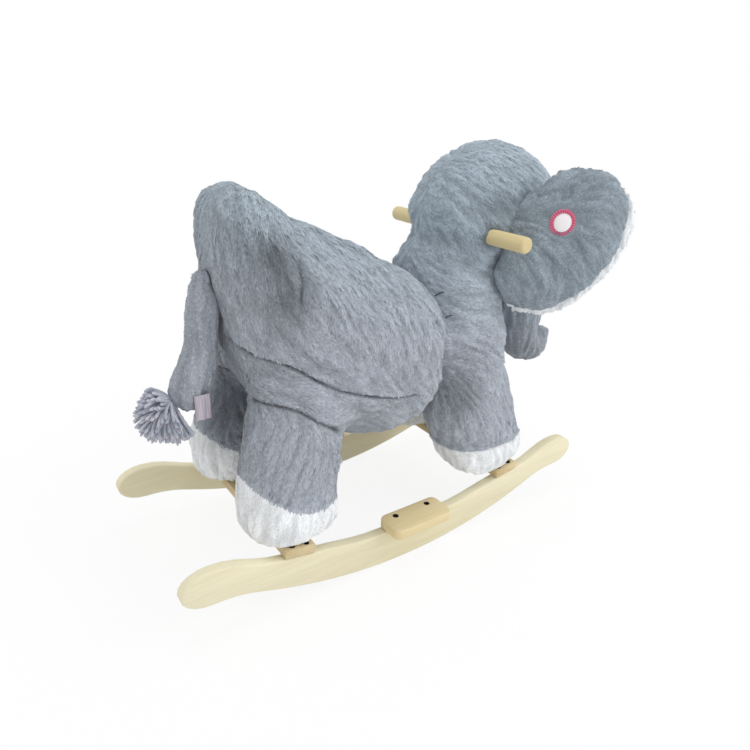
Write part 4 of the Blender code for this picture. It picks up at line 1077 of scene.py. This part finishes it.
brokenEdges = {"runner": 0.0016, "cross_board": 0.0012, "footrest": 0.0010, "handle": 0.0014, "eye": 0.0}
for name in nodes:
    kind = next((kind for kind in brokenEdges if kind in name and "screw" not in name), None)
    if kind:
        standIn(smoothCopy(name, brokenEdges[kind]), name, kind)
say("the wood is finished")

# Screws: the CAD screw with a cross recess in its head, one arm along X and one along Y
recess = {"arms": ((0.0052, 0.0018), (0.0018, 0.0026)), "depth": 0.0032}


def crossScrew(name):
    made = smoothCopy(name)
    points = meshArrays(made.data)[0]
    middle = points.mean(axis=0)
    way = np.linalg.svd(points - middle)[2][0]
    far = (points - middle) @ way
    out = np.linalg.norm(points - middle - far[:, None] * way, axis=1)
    spread = [out[far * sign > 0.9 * (far * sign).max()].max() for sign in (1, -1)]
    way = way if spread[0] > spread[1] else -way  # towards the head, which is the wider end
    turn = Vector(way).to_track_quat("Z", "Y").to_matrix().to_4x4()
    bm = bmesh.new()
    for x, y in recess["arms"]:
        arm = bmesh.ops.create_cube(bm, size=1.0)["verts"]
        bmesh.ops.scale(bm, vec=(x, y, recess["depth"]), verts=arm)
    bm.transform(Matrix.Translation(middle + way * ((points - middle) @ way).max()) @ turn)
    cross = newObject("cross", meshFrom(bm, "cross"))
    cut = made.modifiers.new("cross", "BOOLEAN")
    cut.object, cut.solver, cut.use_self = cross, "EXACT", True
    applyModifiers(made)
    bpy.data.objects.remove(cross)
    return made


for name in nodes:
    if "screw" in name:
        standIn(crossScrew(name), name)
say("the screws are cut")

# The pieces that keep their CAD shape
for name, node in nodes.items():
    if node.data.materials[0].name in finishes:
        kind = "post" if "post" in name else node.data.materials[0].name
        node.data.materials[0] = finishes[kind]


# A tube along a path, its section a three-ply yarn: radius (1 + ply cos(3 angle - twist))
def yarnTubes(paths, radius, ply=0.16, twist=900.0, sides=9):
    places, faces = [], []
    slant = (0.31, 0.87, 0.38)  # the turn round every path is measured from this direction
    angle = np.arange(sides) * 2 * math.pi / sides
    for path in paths:
        way = np.gradient(path, axis=0)
        run = np.linalg.norm(way, axis=1, keepdims=True)
        way /= run
        first = np.cross(way, slant)
        first /= np.linalg.norm(first, axis=1, keepdims=True)
        second = np.cross(way, first)
        along = run.cumsum()[:, None]
        size = radius * (1 + ply * np.cos(3 * angle - twist * along))
        size[-1] *= 0.55  # the free end is narrower
        ring = first[:, None] * np.cos(angle)[:, None] + second[:, None] * np.sin(angle)[:, None]
        start = sum(len(rows) for rows in places)
        places.append((path[:, None] + size[:, :, None] * ring).reshape(-1, 3))
        rows = start + np.arange(len(path) - 1)[:, None] * sides
        a = rows + np.arange(sides)
        b = rows + (np.arange(sides) + 1) % sides
        faces += np.stack([a, b, b + sides, a + sides], -1).reshape(-1, 4).tolist()
        last = start + (len(path) - 1) * sides
        faces += [list(range(start, start + sides))[::-1], list(range(last, last + sides))]
    return smoothMesh("yarn", np.vstack(places), faces)


# Thin sewing thread, as the same tubes
def threads(name, paths, radius):
    return newObject(name, yarnTubes(paths, radius, ply=0.1, twist=1500.0, sides=7))


# Tassel: a mop of strands that fan out from the knot at the tail's end and hang over
tassel = {
    "knot": (-0.2900, 0.0, 0.2400),
    "way": (-0.82, 0.0, -0.57),
    "strands": 150,
    "spread": 1.45,  # half angle of the mop
    "length": (0.032, 0.047),  # of the upper and the lower strands
    "flat": 0.75,  # the mop's width across the tail, as a share of its height
    "yarn": 0.0018,
    "sag": 0.007,
    "stray": 0.0022,
    "seed": 5,
}
goldenAngle = 2.39996  # radians from one strand to the next, which spreads them evenly


# Each strand is a quadratic curve from the knot, aimed by its turn and lean off the mop's axis,
# and sags with t squared
def mop(look, steps=20):
    chance = np.random.default_rng(look["seed"])
    start = np.array(look["knot"])
    way = np.array(look["way"]) / np.linalg.norm(look["way"])
    side = np.cross(way, (0, 1, 0))
    other = np.cross(way, side)
    short, long = look["length"]
    t = np.linspace(0, 1, steps)[:, None]
    paths = []
    for i in range(look["strands"]):
        lean = look["spread"] * ((i + 0.5) / look["strands"]) ** 0.6
        angle = i * goldenAngle + chance.uniform(-0.2, 0.2)
        aside = math.cos(angle) * side + look["flat"] * math.sin(angle) * other
        aim = math.cos(lean) * way + math.sin(lean) * aside
        length = (long + (short - long) * smoothStep(aim[2], -0.6, 0.9)) * chance.uniform(0.93, 1.05)
        middle = 0.5 * length * (0.25 * way + 0.75 * aim)
        path = 2 * t * (1 - t) * middle + t**2 * length * aim
        path = path + np.sin(math.pi * t) * chance.normal(0, look["stray"], 3)
        paths.append(start + path - look["sag"] * t**2 * np.array((0, 0, 1)))
    return paths


def yarnFinish():
    sheet = Sheet("tassel_yarn")
    wool = sheet.noise(sheet.objectPlace(), 1400, 2.0)
    strand = sheet.noise(sheet.objectPlace(), 90, 1.0)
    colour = sheet.blend(strand.within(0.3, 0.7), (0.42, 0.46, 0.53), (0.60, 0.59, 0.67))
    return sheet.surface(sheet.lit(colour, 0.8 + wool * 0.4), 0.9, sheet.bump(wool, 0.5, 0.0006), **sheen)


def addTassel(look):
    made = newObject("tassel_strands", yarnTubes(mop(look), look["yarn"]))
    made.data.materials.append(yarnFinish())
    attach(made, "tail_swinging")
    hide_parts("tassel")


addTassel(tassel)
say("the tassel is tied")

# Care label: a blank ribbon folded at its lower end, with a slight wave across
careLabel = {
    "size": (0.018, 0.0305),
    "gap": 0.0011,
    "wave": 0.0005,
    "waves": 700,  # radians per metre
    "thick": 0.00022,
    # light and dark: the ribbon's colour, painted lighter and darker for the shade of its folds
    "light": (0.66, 0.61, 0.68),
    "dark": (0.46, 0.40, 0.47),
    "grid": (61, 9),  # points along and across
}


# The ribbon runs straight down, half round the fold and up again; its wave grows over the first centimetre
def addLabel(look):
    low, high = (np.array(corner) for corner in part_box("care_label"))
    wide, long = look["size"]
    rows, columns = look["grid"]
    bend = look["gap"] / 2
    turn = math.pi * bend
    run = np.linspace(0, 1, rows) * (2 * long + turn)
    arc = np.clip((run - long) / bend, 0, math.pi)
    up = np.maximum(run - long - turn, 0)
    z = high[2] - np.minimum(run, long) - bend * np.sin(arc) + up
    y = (low[1] + high[1]) / 2 - bend * np.cos(arc)
    x = np.linspace(low[0], low[0] + wide, columns)
    sway = look["wave"] * np.sin(x * look["waves"]) * smoothStep(high[2] - z, 0, 0.01)[:, None]
    places = np.stack([x + 0 * z[:, None], y[:, None] + sway, z[:, None] + 0 * x], -1)
    first = np.arange(rows - 1)[:, None] * columns + np.arange(columns - 1)
    faces = first[:, :, None] + (0, 1, columns + 1, columns)
    mesh = smoothMesh("care_label_ribbon", places.reshape(-1, 3), faces.reshape(-1, 4).tolist())
    made = newObject("care_label_ribbon", mesh)
    thick = made.modifiers.new("thickness", "SOLIDIFY")
    thick.thickness, thick.offset = look["thick"], 0
    sheet = Sheet("label_ribbon")
    # painted shade of fine folds: light and dark stripes across the ribbon
    foldShade = sheet.noise(sheet.stretch(sheet.objectPlace(), 700, 1, 20), 1.0, 2.0)
    colour = sheet.blend(foldShade.within(0.35, 0.65), look["light"], look["dark"])
    made.data.materials.append(sheet.surface(colour, 0.7))
    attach(made, "tail_swinging")
    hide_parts("care_label")


addLabel(careLabel)
say("the label is sewn in")

# Press patch: stitches across the felt ring, round the white cap
patch = {"stitches": 30, "inner": 0.0124, "outer": 0.0168, "thread": 0.00075, "over": 0.0011, "sunk": 0.35}


# Each stitch is an arch over the ring, its height a half sine
def addStitches(look):
    low, high = (np.array(corner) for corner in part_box("patch_ring"))
    middle = (low + high) / 2
    points = meshArrays(nodes["patch_ring"].data)[0]
    way = np.linalg.svd(points - points.mean(axis=0))[2][2]
    way = way * -np.sign(way[1])
    top = ((points - middle) @ way).max()
    side = np.cross(way, (0, 0, 1))
    side /= np.linalg.norm(side)
    other = np.cross(way, side)
    t = np.linspace(0, 1, 9)[:, None]
    run = look["inner"] + t * (look["outer"] - look["inner"])
    rise = top + look["over"] * (np.sin(math.pi * t) - look["sunk"])
    paths = []
    for i in range(look["stitches"]):
        angle = 2 * math.pi * i / look["stitches"]
        paths.append(middle + (math.cos(angle) * side + math.sin(angle) * other) * run + way * rise)
    made = threads("patch_stitches", paths, look["thread"])
    made.data.materials.append(plainFinish("stitch_thread", (0.62, 0.06, 0.16), 0.6))
    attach(made, "right_ear")


def feltFinish():
    sheet = Sheet("ring_felt")
    fuzz = sheet.noise(sheet.objectPlace(), 1800, 3.0)
    colour = sheet.blend(fuzz.within(0.3, 0.7), (0.70, 0.16, 0.28), (0.86, 0.36, 0.46))
    return sheet.surface(colour, 0.9, sheet.bump(fuzz, 0.5, 0.0006), **sheen)


def capFinish():
    sheet = Sheet("cap_cloth")
    weave = sheet.noise(sheet.objectPlace(), 1200, 3.0)
    return sheet.surface((0.88, 0.85, 0.87), 0.85, sheet.bump(weave, 0.4, 0.0005), **sheen)


addStitches(patch)
nodes["patch_ring"].data.materials[0] = feltFinish()
nodes["sound_button"].data.materials[0] = capFinish()
say("the patch is stitched")

# Dark tack threads between the body's front edge and the neck, on both sides
tacks = {
    "ends": (
        ((0.0400, -0.0575, 0.3300), (0.0518, -0.0618, 0.3350)),
        ((0.0370, -0.0850, 0.3095), (0.0573, -0.0740, 0.3056)),
    ),
    "thread": 0.0008,
    "rise": 0.001,
}


def addTacks(look):
    t = np.linspace(0, 1, 9)[:, None]
    paths = []
    for (a, b), (sign, _) in product(look["ends"], bothSides):
        flip = np.array((1, -sign, 1))
        rise = np.sin(math.pi * t) * (0, 0, look["rise"])
        paths.append((np.array(a) * (1 - t) + np.array(b) * t) * flip + rise)
    made = threads("tack_threads", paths, look["thread"])
    made.data.materials.append(plainFinish("dark_thread", (0.015, 0.018, 0.025), 0.7))
    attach(made, "toy")


addTacks(tacks)
